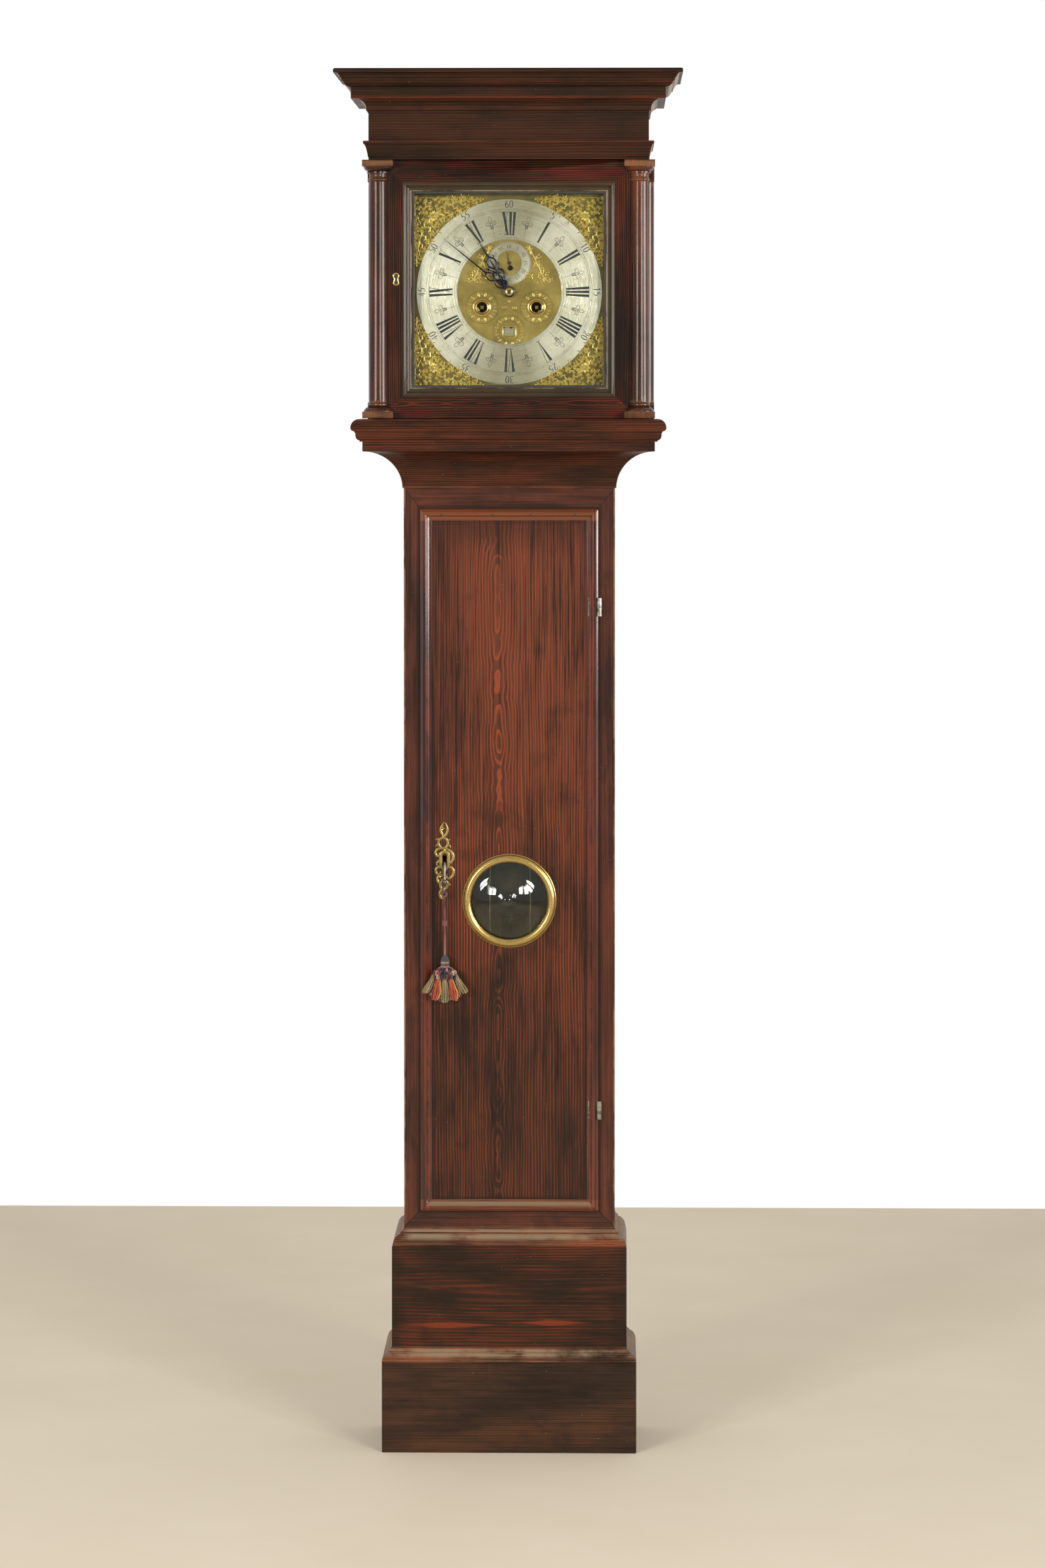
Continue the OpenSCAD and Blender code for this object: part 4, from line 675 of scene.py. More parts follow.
# movement brass, tarnished and darker: the darkening also paints the shade inside the hood, as seen through
# the winding holes
innerBrass = brassFinish("movementBrass", tint(122, 98, 56), tint(54, 42, 24), 0.6, 0.42)
blackWax = plainFinish("blackWax", tint(30, 30, 30), tint(58, 56, 50), 0.5, 0, 160, 0.3)
faintWax = plainFinish("faintWax", tint(66, 64, 58), tint(112, 108, 94), 0.5, 0, 260, 0.2)
bluedSteel = plainFinish("bluedSteel", tint(36, 38, 48), tint(60, 58, 62), 0.26, 0.85, 200, 0.12)
greySteel = plainFinish("greySteel", tint(116, 112, 104), tint(70, 64, 58), 0.34, 0.9, 160, 0.3)
oldIron = plainFinish("oldIron", tint(66, 62, 58), tint(40, 36, 33), 0.5, 0.7, 120, 0.5)
wornSteel = plainFinish("wornSteel", tint(156, 150, 138), tint(70, 62, 54), 0.3, 0.7, 120, 0.4)
castIron = plainFinish("castLead", tint(96, 96, 98), tint(62, 62, 64), 0.6, 0.5, 70, 0.6)
bellMetal = brassFinish("bellMetal", tint(176, 150, 96), tint(104, 84, 50), 0.4, 0.3)
gut = plainFinish("gutLine", tint(168, 152, 112), tint(120, 104, 74), 0.5, 0, 300, 0.3)
print("metals ready")


# Key, cord and tassel that hang in the trunk's keyhole; places in millimetres
keyParts = {
    "top": (-100.5, -34, 913), "lean": 14, "length": 34, "shank": 2.4,
    "bow": 9, "wire": 1.6, "collar": 3.6,
}
cordParts = {
    "route": [(-100.5, -44, 863.6), (-100.4, -45.6, 857), (-100.2, -46.9, 850), (-100, -47.7, 843),
              (-99.8, -48.1, 837), (-99.6, -48.2, 831), (-99.5, -48.2, 825), (-99.4, -48.3, 819),
              (-99.4, -48.3, 813), (-99.4, -48.3, 807), (-99.4, -48.3, 801), (-99.4, -48.3, 795),
              (-99.4, -48.3, 789), (-99.4, -48.3, 783), (-99.4, -48.3, 777), (-99.4, -48.3, 771)],
    "strands": 3, "strand": 1.02, "pitch": 13, "width": 4,
    "knot": 821,
}
tasselParts = {
    "top": (-99.4, -48.3, 771), "ruff": 744, "low": 697,
    "bundles": 9, "spread": 31, "strands": 20, "seed": 4,
}
cordDyes = [tint(60, 40, 50), tint(128, 76, 80), tint(172, 112, 102), tint(176, 150, 116)]
cordThread = threadFinish("cordThread", cordDyes, 900)
tasselThreads = [threadFinish(name, colours, 700) for name, colours in (
    ("threadSlate", [tint(44, 52, 64), tint(76, 86, 96)]),
    ("threadSalmon", [tint(180, 104, 82), tint(222, 150, 116)]),
    ("threadCream", [tint(170, 140, 100), tint(216, 190, 148)]),
    ("threadPlum", [tint(84, 38, 46), tint(140, 70, 74)]),
    ("threadNavy", [tint(22, 26, 46), tint(52, 58, 84)]),
    ("threadOlive", [tint(118, 104, 66), tint(172, 156, 108)]),
    ("threadCoral", [tint(170, 56, 44), tint(222, 98, 70)]),
    ("threadYellow", [tint(206, 146, 58), tint(238, 190, 100)]),
)]


def addKey(parts):
    lean = math.radians(parts["lean"])
    x, y, z = parts["top"]
    down = lambda d: (x, y - math.sin(lean) * d, z - math.cos(lean) * d)
    stock = Stock()
    reach = [0, 2, 6, parts["length"] - 7, parts["length"] - 5, parts["length"] - 3, parts["length"]]
    shank, collar = parts["shank"], parts["collar"]
    widths = [1.6, shank, shank - 0.3, shank - 0.2, collar, collar, 2.2]
    stock.tube([down(d) for d in reach], widths, 16)
    stock.tube([down(d) for d in (parts["length"] - 9, parts["length"] - 8)], [3, 3], 16)
    middle = down(parts["length"] + parts["bow"] - 1.5)
    ring = []
    for i in range(28):
        a = 2 * math.pi * i / 28
        r = parts["bow"] - parts["wire"]
        centre = Vector(middle) + Vector((0, math.cos(a) * r, math.sin(a) * r))
        out = Vector((0, math.cos(a), math.sin(a)))
        ring.append([centre + out * math.cos(b) * parts["wire"] + Vector((math.sin(b) * 1.5, 0, 0))
                     for b in (2 * math.pi * j / 10 for j in range(10))])
    stock.skin(ring, around=True)
    stock.board((x - 1.4, y, z - 7), (x + 1.4, y + 17, z + 1.4))
    stock.make("doorKey", "key", [greySteel], ("trunk_key",), "steel", bevel=0.25)


def addCord(parts):
    route = smoothLine(parts["route"], 4)
    stock = Stock()
    travelled, lines = 0, [[] for _ in range(parts["strands"])]
    for i, p in enumerate(route):
        if i:
            travelled += (Vector(p) - Vector(route[i - 1])).length
        for k, line in enumerate(lines):
            a = 2 * math.pi * (travelled / parts["pitch"] + k / parts["strands"])
            off = parts["width"] / 2 - parts["strand"]
            line.append((p[0] + math.cos(a) * off, p[1] + math.sin(a) * off, p[2]))
    for line in lines:
        stock.tube(line, parts["strand"], 8)
    made = stock.make("silkCord", "key", [cordThread], ("tassel_cord",), "braid", sharp=60)
    points = [tuple(v * mm for v in p) for p in parts["route"]]
    length = sum((Vector(a) - Vector(b)).length for a, b in zip(points, points[1:]))
    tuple(points[0])
    print("cord length in metres:", round(length, 4))


def addHitch(parts):
    # where the cord is hitched round the bow, and the knot below it
    stock = Stock()
    x, y, z = parts["route"][0]
    for turn in range(3):
        ring = []
        for i in range(13):
            a = 2 * math.pi * i / 12
            ring.append((x + math.cos(a) * 3.4, y - 3 + turn * 2.6, z + 1.8 + math.sin(a) * 3.4))
        stock.tube(ring, 1.5, 8)
    kx, ky = parts["route"][7][:2]
    for turn in range(2):
        loop = []
        for i in range(17):
            a = 2 * math.pi * i / 16
            height = parts["knot"] + (turn - 0.5) * 3.4 + math.sin(a * 2 + turn) * 1.4
            loop.append((kx + math.cos(a) * 2.4, ky + math.sin(a) * 2.4, height))
        stock.tube(loop, 1.5, 8)
    return stock.make("cordHitch", "key", [cordThread], (), "braid", sharp=60)


def addTassel(parts):
    pick = random.Random(parts["seed"])
    x, y, top = parts["top"]
    stock = Stock()
    slate, salmon, cream, plum, navy, olive, coral, yellow = range(8)
    profile = [(0.05, 0), (2.6, -0.4), (4.2, -2), (5.6, -4.5), (6.2, -6.5)]
    stock.turned([*profile, (0.05, -6.5)], (x, y, top), "z", 24, slate)
    for i in range(4):
        z = top - 8 - i * 3.2
        stock.turned([(0.05, 1.8), (5.6, 1.7), (6.9 + 0.3 * i, 0), (5.6, -1.7), (0.05, -1.8)],
                     (x, y, z), "z", 24, slate if i % 2 == 0 else salmon)
    for row, (count, reach, rise) in enumerate(((10, 9.5, 4), (14, 15, 0), (14, 16, -5))):
        for i in range(count):  # the ruff is a wreath of knotted loops
            a = 2 * math.pi * (i + row * 0.5) / count
            centre = Vector((x + math.cos(a) * reach, y + math.sin(a) * reach * 0.8, parts["ruff"] + rise))
            tall = pick.uniform(2.6, 3.6)
            loop = [centre + Vector((math.cos(a) * math.cos(b) * 2.6, math.sin(a) * math.cos(b) * 2.6,
                                     math.sin(b) * tall)) for b in (math.pi * 2 * j / 8 for j in range(9))]
            stock.tube(loop, 1.7, 6, pick.choice((salmon, plum, navy, cream, plum)))
    dyes = [olive, navy, coral, navy, olive, navy, coral, navy, olive]
    for b in range(parts["bundles"]):
        side = (b - (parts["bundles"] - 1) / 2) / ((parts["bundles"] - 1) / 2)
        behind = b % 2
        root = Vector((x + side * 17, y - 4 + behind * 6, parts["ruff"] - 3))
        ends = parts["low"] + side * side * 15 + behind * 2
        foot = Vector((x + side * parts["spread"], y - 4.4 + behind * 6, ends))
        stock.tube([root, root.lerp(foot, 0.12), root.lerp(foot, 0.26)], [2.4, 3.4, 2.4], 8, dyes[b])
        for s in range(parts["strands"]):
            a = 2 * math.pi * s / parts["strands"] * 2.4
            r = (s / parts["strands"]) ** 0.5
            out = Vector((math.cos(a) * r, math.sin(a) * r * 0.75, 0))
            end = foot + out * 5.2 + Vector((0, 0, pick.uniform(-1.2, 1.8) + r * 2.5))
            belly = root.lerp(foot, 0.66) + out * (8.6 if dyes[b] == coral else 7)
            dye = dyes[b]
            if dye == coral and s % 4 == 0:
                dye = yellow
            if dye == navy and s % 3 == 0:
                dye = olive
            if dye == olive and s % 5 == 0:
                dye = cream
            line = [root + out * 1.6, root.lerp(foot, 0.33) + out * 4.4, belly,
                    belly.lerp(end, 0.6) + out * 0.6, end]
            stock.tube(line, [0.7, 0.8, 0.85, 0.85, 0.75], 5, dye)
    return stock.make("silkTassel", "key", tasselThreads, ("tassel",), "tassel_thread", sharp=60)


addKey(keyParts)
hitchPiece = addHitch(cordParts)
tasselPiece = addTassel(tasselParts)
addCord(cordParts)
print("key, cord and tassel made")


# Dial: everything is measured from its centre, in millimetres
dialCentre = middleOf("dial_plate")[2] / mm
dial = {
    "plate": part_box("dial_plate")[0].y / mm, "ring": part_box("dial_rings")[0].y / mm,
    "ringIn": 80.5, "ringOut": 143, "holes": ((42.2, -23.7), (-42.2, -23.7)),
    "ink": 0.06, "windowDown": 60.8,
}
secondsRing = {
    "up": 44.6, "face": -35.8, "circles": (19.4, 31.6, 32.8), "circleLine": 0.13, "tickLine": 0.12,
    "digitRadius": 25.6, "digitHigh": 5.4, "digitWide": 3.7, "bold": 0.55,
}
numerals = {
    "foot": 88, "head": 123.4, "pitch": 5.35, "bar": 1.62, "hair": 0.34, "serif": 0.28,
    "digitRadius": 135.4, "digitHigh": 10.8, "digitWide": 7.3, "bold": 1.15,
    "minuteRings": (125.2, 128), "quarterRings": (81.4, 84.2), "line": 0.17, "tickLine": 0.14,
}
digitLines = {  # strokes of each figure, in shares of its width and height
    "0": [[(0.5 + u * 0.38, 0.5 + v * 0.5) for u, v in (polar(1, k * 22.5) for k in range(17))]],
    "1": [[(0.3, 0.8), (0.52, 1), (0.52, 0)]],
    "2": [smoothLine([(0.15, 0.75), (0.3, 0.96), (0.65, 0.98), (0.8, 0.75), (0.55, 0.42), (0.1, 0.02)], 3),
          [(0.1, 0.03), (0.5, 0.06), (0.92, 0.02)]],
    "3": [smoothLine([(0.15, 0.9), (0.48, 1), (0.78, 0.84), (0.66, 0.6), (0.42, 0.54)], 3),
          smoothLine([(0.42, 0.54), (0.8, 0.46), (0.86, 0.2), (0.52, 0), (0.12, 0.1)], 3)],
    "4": [[(0.64, 0), (0.64, 1), (0.08, 0.3), (0.94, 0.3)]],
    "5": [[(0.84, 0.98), (0.34, 0.96), (0.25, 0.56)],
          smoothLine([(0.25, 0.56), (0.55, 0.64), (0.86, 0.42), (0.74, 0.1), (0.4, 0), (0.12, 0.1)], 3)],
    "6": [smoothLine([(0.76, 0.98), (0.42, 0.84), (0.16, 0.42), (0.28, 0.06), (0.6, 0), (0.86, 0.22),
                      (0.76, 0.5), (0.46, 0.56), (0.2, 0.34)], 3)],
}
romans = ["XII", "I", "II", "III", "IIII", "V", "VI", "VII", "VIII", "IX", "X", "XI"]
halfHour = {  # fleur-de-lis on a thin stem: (sideways, radius) points and half widths, in millimetres
    "radius": 104,
    "sides": ((smoothLine([(0, 120), (2.5, 115.4), (0, 110.8)], 4), 0.34),
              (smoothLine([(0.9, 108.4), (3.6, 111.6), (6.6, 110.8), (7.4, 107.6), (5.6, 105.8), (4.1, 107.2),
                           (5.2, 108.8)], 4), 0.34),
              ([(1.25, 99.8), (1.25, 104.6)], 0.85), ([(0.4, 110.6), (2.9, 104.4)], 0.34)),
    "middle": (([(-3.2, 105.6), (3.2, 105.6)], 0.5), ([(0, 99.5), (0, 86.4)], 0.238)),
}


def bent(clock, radius):
    # turns (sideways, outward) marks into places on the ring; feet point to the centre
    return lambda t, r: polar(r, clock + math.degrees(t / radius))


def inkLine(stock, path, width, face):
    stock.strap(path, width, face, dial["ink"], domed=False)


def addDigits(stock, text, clock, sizes, face):
    radius, high, wide = sizes["digitRadius"], sizes["digitHigh"], sizes["digitWide"]
    spot = bent(clock, radius)
    for i, digit in enumerate(text):
        left = (i - len(text) / 2) * wide * 0.95
        for line in digitLines[digit]:
            path = [spot(left + u * wide * 0.86, radius + (v - 0.5) * high) for u, v in line]
            widths = []
            for k in range(len(line)):
                u0, v0 = line[max(k - 1, 0)]
                u1, v1 = line[min(k + 1, len(line) - 1)]
                steep = abs(v1 - v0) / (math.hypot(u1 - u0, v1 - v0) or 1)
                widths.append((0.26 + 0.3 * steep) * sizes["bold"])
            inkLine(stock, path, widths, face)


def addNumerals(stock, marks):
    face = dial["ring"]
    middle = (marks["foot"] + marks["head"]) / 2
    for hour, name in enumerate(romans):
        spot = bent(hour * 30, middle)

        def stroke(t0, r0, t1, r1, w0, w1):
            corners = [spot(t0 - w0, r0), spot(t0 + w0, r0), spot(t1 + w1, r1), spot(t1 - w1, r1)]
            stock.slab(corners, face - dial["ink"], face + 0.05)

        wide = {"I": marks["pitch"], "V": 1.75 * marks["pitch"], "X": 1.75 * marks["pitch"]}
        at = -sum(wide[c] for c in name) / 2
        foot, head, bar, hair = marks["foot"], marks["head"], marks["bar"], marks["hair"]
        for c in name:
            t = at + wide[c] / 2
            at += wide[c]
            if c == "I":
                stroke(t, foot, t, head, bar * 0.92, bar * 1.08)
            elif c == "V":
                stroke(t - 0.4, foot, t - 3, head, 0.3, bar * 1.15)
                stroke(t, foot, t + 3.4, head, hair, hair)
            else:
                stroke(t + 2.3, foot, t - 2.3, head, bar, bar * 1.05)
                stroke(t - 2.8, foot, t + 2.8, head, hair, hair)
        width = -sum(wide[c] for c in name) / 2
        for r in (foot, head):  # hairline serifs that join the strokes
            inkLine(stock, [spot(width * s, r) for s in (1, 0.5, 0, -0.5, -1)], marks["serif"], face)
        addDigits(stock, str(hour * 5 or 60), hour * 30, marks, face)


def addCircle(stock, radius, width, face):
    profile = [(radius - width, 0), (radius - width, -dial["ink"]), (radius + width, -dial["ink"]),
               (radius + width, 0)]
    stock.turned(profile, (0, face, 0), "y", 144)


def addTicks(stock, count, inner, outer, width, face):
    for i in range(count):
        a = i * 360 / count
        inkLine(stock, [polar(inner, a), polar(outer, a)], width, face)


def addHalfHours(stock, lines):
    for hour in range(12):
        spot = bent(hour * 30 + 15, lines["radius"])
        for side in (-1, 1):
            for points, width in lines["sides"]:
                inkLine(stock, [spot(t * side, r) for t, r in points], width, dial["ring"])
        for points, width in lines["middle"]:
            inkLine(stock, [spot(t, r) for t, r in points], width, dial["ring"])


def addDialInk(marks, small):
    origin = (0, 0, dialCentre)
    bold = Stock(origin)
    addNumerals(bold, marks)
    bold.make("hourNumerals", "case", [blackWax], (), "silvered", sharp=20)
    fine = Stock(origin)
    for radius in (*marks["minuteRings"], *marks["quarterRings"]):
        addCircle(fine, radius, marks["line"], dial["ring"])
    addTicks(fine, 60, *marks["minuteRings"], marks["tickLine"], dial["ring"])
    addTicks(fine, 48, *marks["quarterRings"], marks["tickLine"], dial["ring"])
    addHalfHours(fine, halfHour)
    fine.make("dialEngraving", "case", [faintWax], (), "silvered", sharp=20)
    seconds = Stock((0, 0, dialCentre + small["up"]))
    for radius in small["circles"]:
        addCircle(seconds, radius, small["circleLine"], small["face"])
    addTicks(seconds, 60, *small["circles"][1:], small["tickLine"], small["face"])
    for k in range(12):
        addDigits(seconds, str(k * 5 or 60), k * 30, small, small["face"])
    seconds.make("secondsEngraving", "case", [blackWax], (), "silvered", sharp=20)


addDialInk(numerals, secondsRing)
silvered = silverFinish(dialCentre)
print("dial numerals engraved")


# Cast and engraved ornament of the dial
spandrel = {
    "proud": 3.4, "seed": 11, "heart": (117, 117), "tip": (43, 143), "rosette": 9.5,
    "edge": 146.4, "scrolls": 11, "laces": 15,  # the edge of the cast plate, and how many of each
}
sideLeaves = {"proud": 2.2}


def leaf(stock, at, heading, length, width, back, proud):
    path = curl(at, heading, length, 12, 40, 6)
    stock.strap(path, [w * width for w in (0.3, 0.8, 1, 0.9, 0.6, 0.35, 0.06)], back, proud)


def scroll(stock, at, heading, length, turn, width, back, proud, leaves):
    # a stem that curls into a bead, with small leaves on its outer side
    path = curl(at, heading, length, turn * 0.35, turn * 1.9, 16)
    widths = [width * (1 - 0.62 * i / 16) for i in range(17)]
    stock.strap(path, widths, back, proud)
    stock.dome((path[-1][0], back, path[-1][1]), width * 1.15, proud, steps=10)
    for k in range(leaves):
        i = 2 + k * 4
        (x0, z0), (x1, z1) = path[i], path[i + 1]
        course = math.degrees(math.atan2(z1 - z0, x1 - x0))
        leaf(stock, path[i], course - math.copysign(48, turn), length * 0.26, width * 0.8, back, proud * 0.75)


def rosette(stock, at, radius, back, proud, petals=8):
    for k in range(petals):
        a = 360 * k / petals
        x = at[0] + math.cos(math.radians(a)) * radius * 0.3
        z = at[1] + math.sin(math.radians(a)) * radius * 0.3
        leaf(stock, (x, z), a - 20, radius * 0.78, radius * 0.2, back, proud * 0.9)
    stock.dome((at[0], back, at[1]), radius * 0.42, proud * 1.1, 0, 14)
    stock.dome((at[0], back, at[1]), radius * 0.2, proud * 1.3, 0, 10)


def addSpandrels(look):
    back, proud = dial["plate"], look["proud"]
    pick = random.Random(look["seed"])
    stock = Stock((0, 0, dialCentre))
    arm = Stock()
    # one arm runs from the rosette at the corner's heart to a tip over the hour ring
    heart, tip = look["heart"], look["tip"]
    rosette(arm, heart, look["rosette"], back, proud)
    for k in range(look["scrolls"]):
        t = k / (look["scrolls"] - 1)
        x = heart[0] - 6 + (tip[0] - heart[0] + 8) * t
        low = max(math.sqrt((dial["ringOut"] + 3.5) ** 2 - x * x), x if x > 104 else 0)
        room = look["edge"] - low
        z = low + room * 0.5
        size = max(10, min(30, room * 1.5))
        way = 1 if k % 2 == 0 else -1
        scroll(arm, (x + 2, z - way * room * 0.16), 180 - way * 20, size, way * 330,
               min(1.9, 0.7 + room * 0.05), back, proud * pick.uniform(0.7, 1), 3)
        scroll(arm, (x - 1, z + way * room * 0.2), 150 * way, size * 0.62, -way * 300,
               min(1.5, 0.6 + room * 0.03), back, proud * pick.uniform(0.6, 0.9), 2)
        if room > 12:
            leaf(arm, (x + 3, z + way * room * 0.36), 170 - way * 50, size * 0.4, 1.5, back, proud * 0.8)
            leaf(arm, (x - 4, z - way * room * 0.4), 200 + way * 40, size * 0.36, 1.4, back, proud * 0.7)
    arm.strap(smoothLine([(112, 126), (96, 134), (76, 139), (56, 142.6), (42, 143.4)], 5),
              1.1, back, proud * 0.8)
    arm.dome((40.5, back, 143.4), 2.3, proud, 0, 12)
    # the outer frame of the arm follows the plate's edge
    arm.strap(smoothLine([(146, 146), (120, 145.4), (96, 146), (72, 145.6)], 4), 0.9, back, proud * 0.6)
    for k in range(look["laces"]):  # lacework along the plate's edge and round the rosette
        x = 52 + k * 6.7
        scroll(arm, (x, 140.6 + pick.uniform(-2.4, 1.6)), pick.choice((200, 160, 20, -20)), 13,
               pick.choice((320, -320)), 1.5, back, proud * pick.uniform(0.7, 1), 2)
    for row, first, count in ((131, 92, 4), (122, 97, 2)):
        for k in range(count):
            x = first + k * 11
            if math.hypot(x - heart[0], row - heart[1]) > 9:
                scroll(arm, (x, row), pick.uniform(0, 360), 12, 320, 1.4, back, proud * 0.8, 2)
    for dx, dz, length in ((10, 14, 15), (-8, 17, 14), (18, 4, 12), (-16, 8, 12), (22, 20, 12)):
        at = (heart[0] + dx * 0.5, heart[1] + dz * 0.6)
        scroll(arm, at, math.degrees(math.atan2(dz, dx)), length, 280, 1.5, back, proud * 0.85, 2)
    for quarter in range(4):
        for flip in (False, True):
            points = []
            for x, y, z in arm.points:
                x, z = (z, x) if flip else (x, z)
                for _ in range(quarter):
                    x, z = z, -x
                points.append((x / mm, y / mm, z / mm))
            stock.add(points, [tuple(reversed(f)) if flip else f for f in arm.faces])
    stock.make("leafSpandrels", "case", [giltBrass], ("spandrels",), "gilt_brass", sharp=50)


def addSideLeaves(look):
    # pierced foliage at both sides of the seconds ring
    back, proud = dial["plate"], look["proud"]
    stock = Stock((0, 0, dialCentre))
    plans = [((36, 20), 95, 26, 300), ((44, 22), 70, 22, -290), ((54, 16), 110, 20, 280),
             ((61, 18), 60, 14, -280), ((38, 40), 75, 24, -290), ((47, 38), 100, 20, 300),
             ((33, 58), 60, 18, 290), ((52, 30), 50, 15, 260), ((41, 52), 80, 16, -270),
             ((30, 66), 40, 12, 280), ((57, 24), 120, 14, -260)]
    for at, heading, length, turn in plans:
        scroll(stock, at, heading, length, turn, 1.5, back, proud, 3)
    stem = smoothLine([(63, 15), (54, 21), (48, 33), (42, 46), (36, 58), (28, 68)], 5)
    stock.strap(stem, 1.3, back, proud)
    for k in range(1, 9):
        x, z = stem[k * 3 - 1]
        leaf(stock, (x, z), 150 if k % 2 else 10, 8.5, 1.6, back, proud * 0.9)
    for x, z in ((63, 15.5), (50, 14.5), (38, 15.2), (26, 69)):
        stock.dome((x, back, z), 1.7, proud, steps=10)
    stock.strap(smoothLine([(64, 14.4), (50, 14), (36, 14.4)], 4), 0.8, back, 1.4)
    stock.mirrored()
    stock.make("sideFoliage", "case", [giltBrass], (), "gilt_brass", sharp=50)


holeBands = {
    "rim": [(7.8, 0.3), (7.8, -1.0), (8.6, -2.0), (9.8, -2.2), (10.6, -1.4), (11.4, -0.9), (12.6, -1.5),
            (13.8, -1.1), (14.4, 0)],
    "hole": (15, 25.2), "window": (15.6, 24.6),  # inner and outer radius of the engraved bands
    "stud": [(1.4, 0), (1.4, -0.9), (2.2, -1.3), (3.0, -0.7), (3.8, -1.0), (4.3, 0)],
    "studPlaces": ((-8, -24.3), (8, -24.3)), "sprayDown": 16.5,
}


def addHoleBands(sizes):
    back = dial["plate"]
    stock = Stock((0, 0, dialCentre))
    for x, z in dial["holes"]:
        stock.turned(sizes["rim"], (x, back, z), "y", 48, 1)
    spots = [(x, z, *sizes["hole"]) for x, z in dial["holes"]]
    spots.append((0, 0.4 - dial["windowDown"], *sizes["window"]))
    for x, z, inner, outer in spots:
        for radius in (inner, outer):
            stock.turned([(radius - 0.35, 0), (radius, -0.55), (radius + 0.35, 0)], (x, back, z), "y", 60)
        for k in range(12):
            a = k * 30 + 15
            if x == 0 and abs(a - 90) % 180 < 1:
                continue
            rays = [polar(inner + 1 + s * (outer - inner - 2), a) for s in (0, 0.2, 0.4, 0.6, 0.8, 1)]
            path = [(x + u, z + v) for u, v in rays]
            stock.strap(path, [0.5, 1.7, 2.3, 2.0, 1.2, 0.2], back, 0.8)
            stock.strap(path, [0.2, 0.5, 0.6, 0.5, 0.3, 0.1], back - 0.3, 0.8)
            bx, bz = polar((inner + outer) / 2, a + 15)
            stock.dome((x + bx, back, z + bz), 1.3, 0.7, steps=10)
    for x, z in sizes["studPlaces"]:  # ringed studs under the centre
        stock.turned(sizes["stud"], (x, back, z), "y", 32)
        stock.dome((x, back, z), 1.4, 0.5)
    for k in (-2, -1, 0, 1, 2):  # a small spray of leaves below the collet
        leaf(stock, (0, -sizes["sprayDown"]), 90 + k * 32, 7 - abs(k), 1.1, back, 0.9)
    stock.make("engravedBands", "case", [engravedBrass, brightBrass], (), "matted_brass", sharp=40)


dateFrame = {"half": 9, "tall": 6.5, "slant": 2.2}


def addDateFrame(sizes):
    back = dial["plate"]
    stock = Stock((0, 0, dialCentre - dial["windowDown"]))
    half, tall, slant = sizes["half"], sizes["tall"], sizes["slant"]
    outer = [(-half - slant, -tall - slant), (half + slant, -tall - slant), (half + slant, tall + slant),
             (-half - slant, tall + slant)]
    inner = [(-half, -tall), (half, -tall), (half, tall), (-half, tall)]
    rings = [[(x, back, z) for x, z in outer], [(x * 0.98, back - 0.9, z * 0.97) for x, z in outer],
             [(x, back - 0.3, z) for x, z in inner], [(x, back + 2.3, z) for x, z in inner]]
    stock.skin(rings, 0, caps=False)
    stock.make("dateFrame", "case", [brightBrass], (), "clock_brass", sharp=25)


engravedBrass = brassFinish("engravedBrass", tint(186, 164, 92), tint(92, 78, 40), 0.5, 0.38, 120, metal=0.7)
addSpandrels(spandrel)
addSideLeaves(sideLeaves)
addHoleBands(holeBands)
addDateFrame(dateFrame)
print("dial ornament cast")


# Hands
hands = {
    "hour": {"clock": 328.75, "front": -41.9, "back": -40.9, "length": 90, "boss": 8.6, "bore": 3.6},
    "minute": {"clock": 309, "front": -46.5, "back": -45.5, "length": 131, "boss": 7, "bore": 2.9,
               "collet": [(2.9, 0), (6.5, 0), (6.8, 0.4), (6.6, 1.7), (5.4, 2.8), (3.4, 3), (2.9, 2.7)]},
    "seconds": {"clock": 348, "front": -38.3, "back": -37.7, "length": 17, "boss": 2.4, "bore": 0.8},
}


def handStock(hand, up=0):
    # the stock of a hand with its boss, and the ways to place points and lines along it
    a = math.radians(hand["clock"])
    turn = lambda t, r: (t * math.cos(a) + r * math.sin(a), -t * math.sin(a) + r * math.cos(a) + up)
    stock = Stock((0, 0, dialCentre))
    bore, boss, front, back = hand["bore"], hand["boss"], hand["front"], hand["back"]
    profile = [(bore, back), (bore, front), (boss * 0.8, front), (boss, front + 0.4), (boss, back)]
    stock.turned(profile, (0, 0, up), "y", 36)

    def line(points, widths):
        path = smoothLine(points, 4)
        stock.strap([turn(*p) for p in path], spreadWidths(widths, len(path)), back, back - front)

    def disc(middle, face, foot):
        x, z = turn(0, middle)
        stock.turned([(0.05, back), (0.05, front), (face, front), (foot, back)], (x, 0, z), "y", 24)

    return stock, line, disc


def rearOf(node, plane, stock, kind):
    # what a CAD piece has behind the plane y = plane, capped there, is added to the stock
    work = bmesh.new()
    work.from_mesh(frame["nodes"][node].data)
    bmesh.ops.remove_doubles(work, verts=work.verts, dist=2e-6)
    everything = work.verts[:] + work.edges[:] + work.faces[:]
    bmesh.ops.bisect_plane(work, geom=everything, plane_co=(0, plane * mm, 0), plane_no=(0, -1, 0),
                           clear_outer=True)
    rim = [edge for edge in work.edges if edge.is_boundary]
    if rim:
        bmesh.ops.bridge_loops(work, edges=rim)
    work.verts.index_update()
    stock.add([[c / mm - o for c, o in zip(v.co, stock.origin)] for v in work.verts],
              [[v.index for v in face.verts] for face in work.faces], kind)
    work.free()


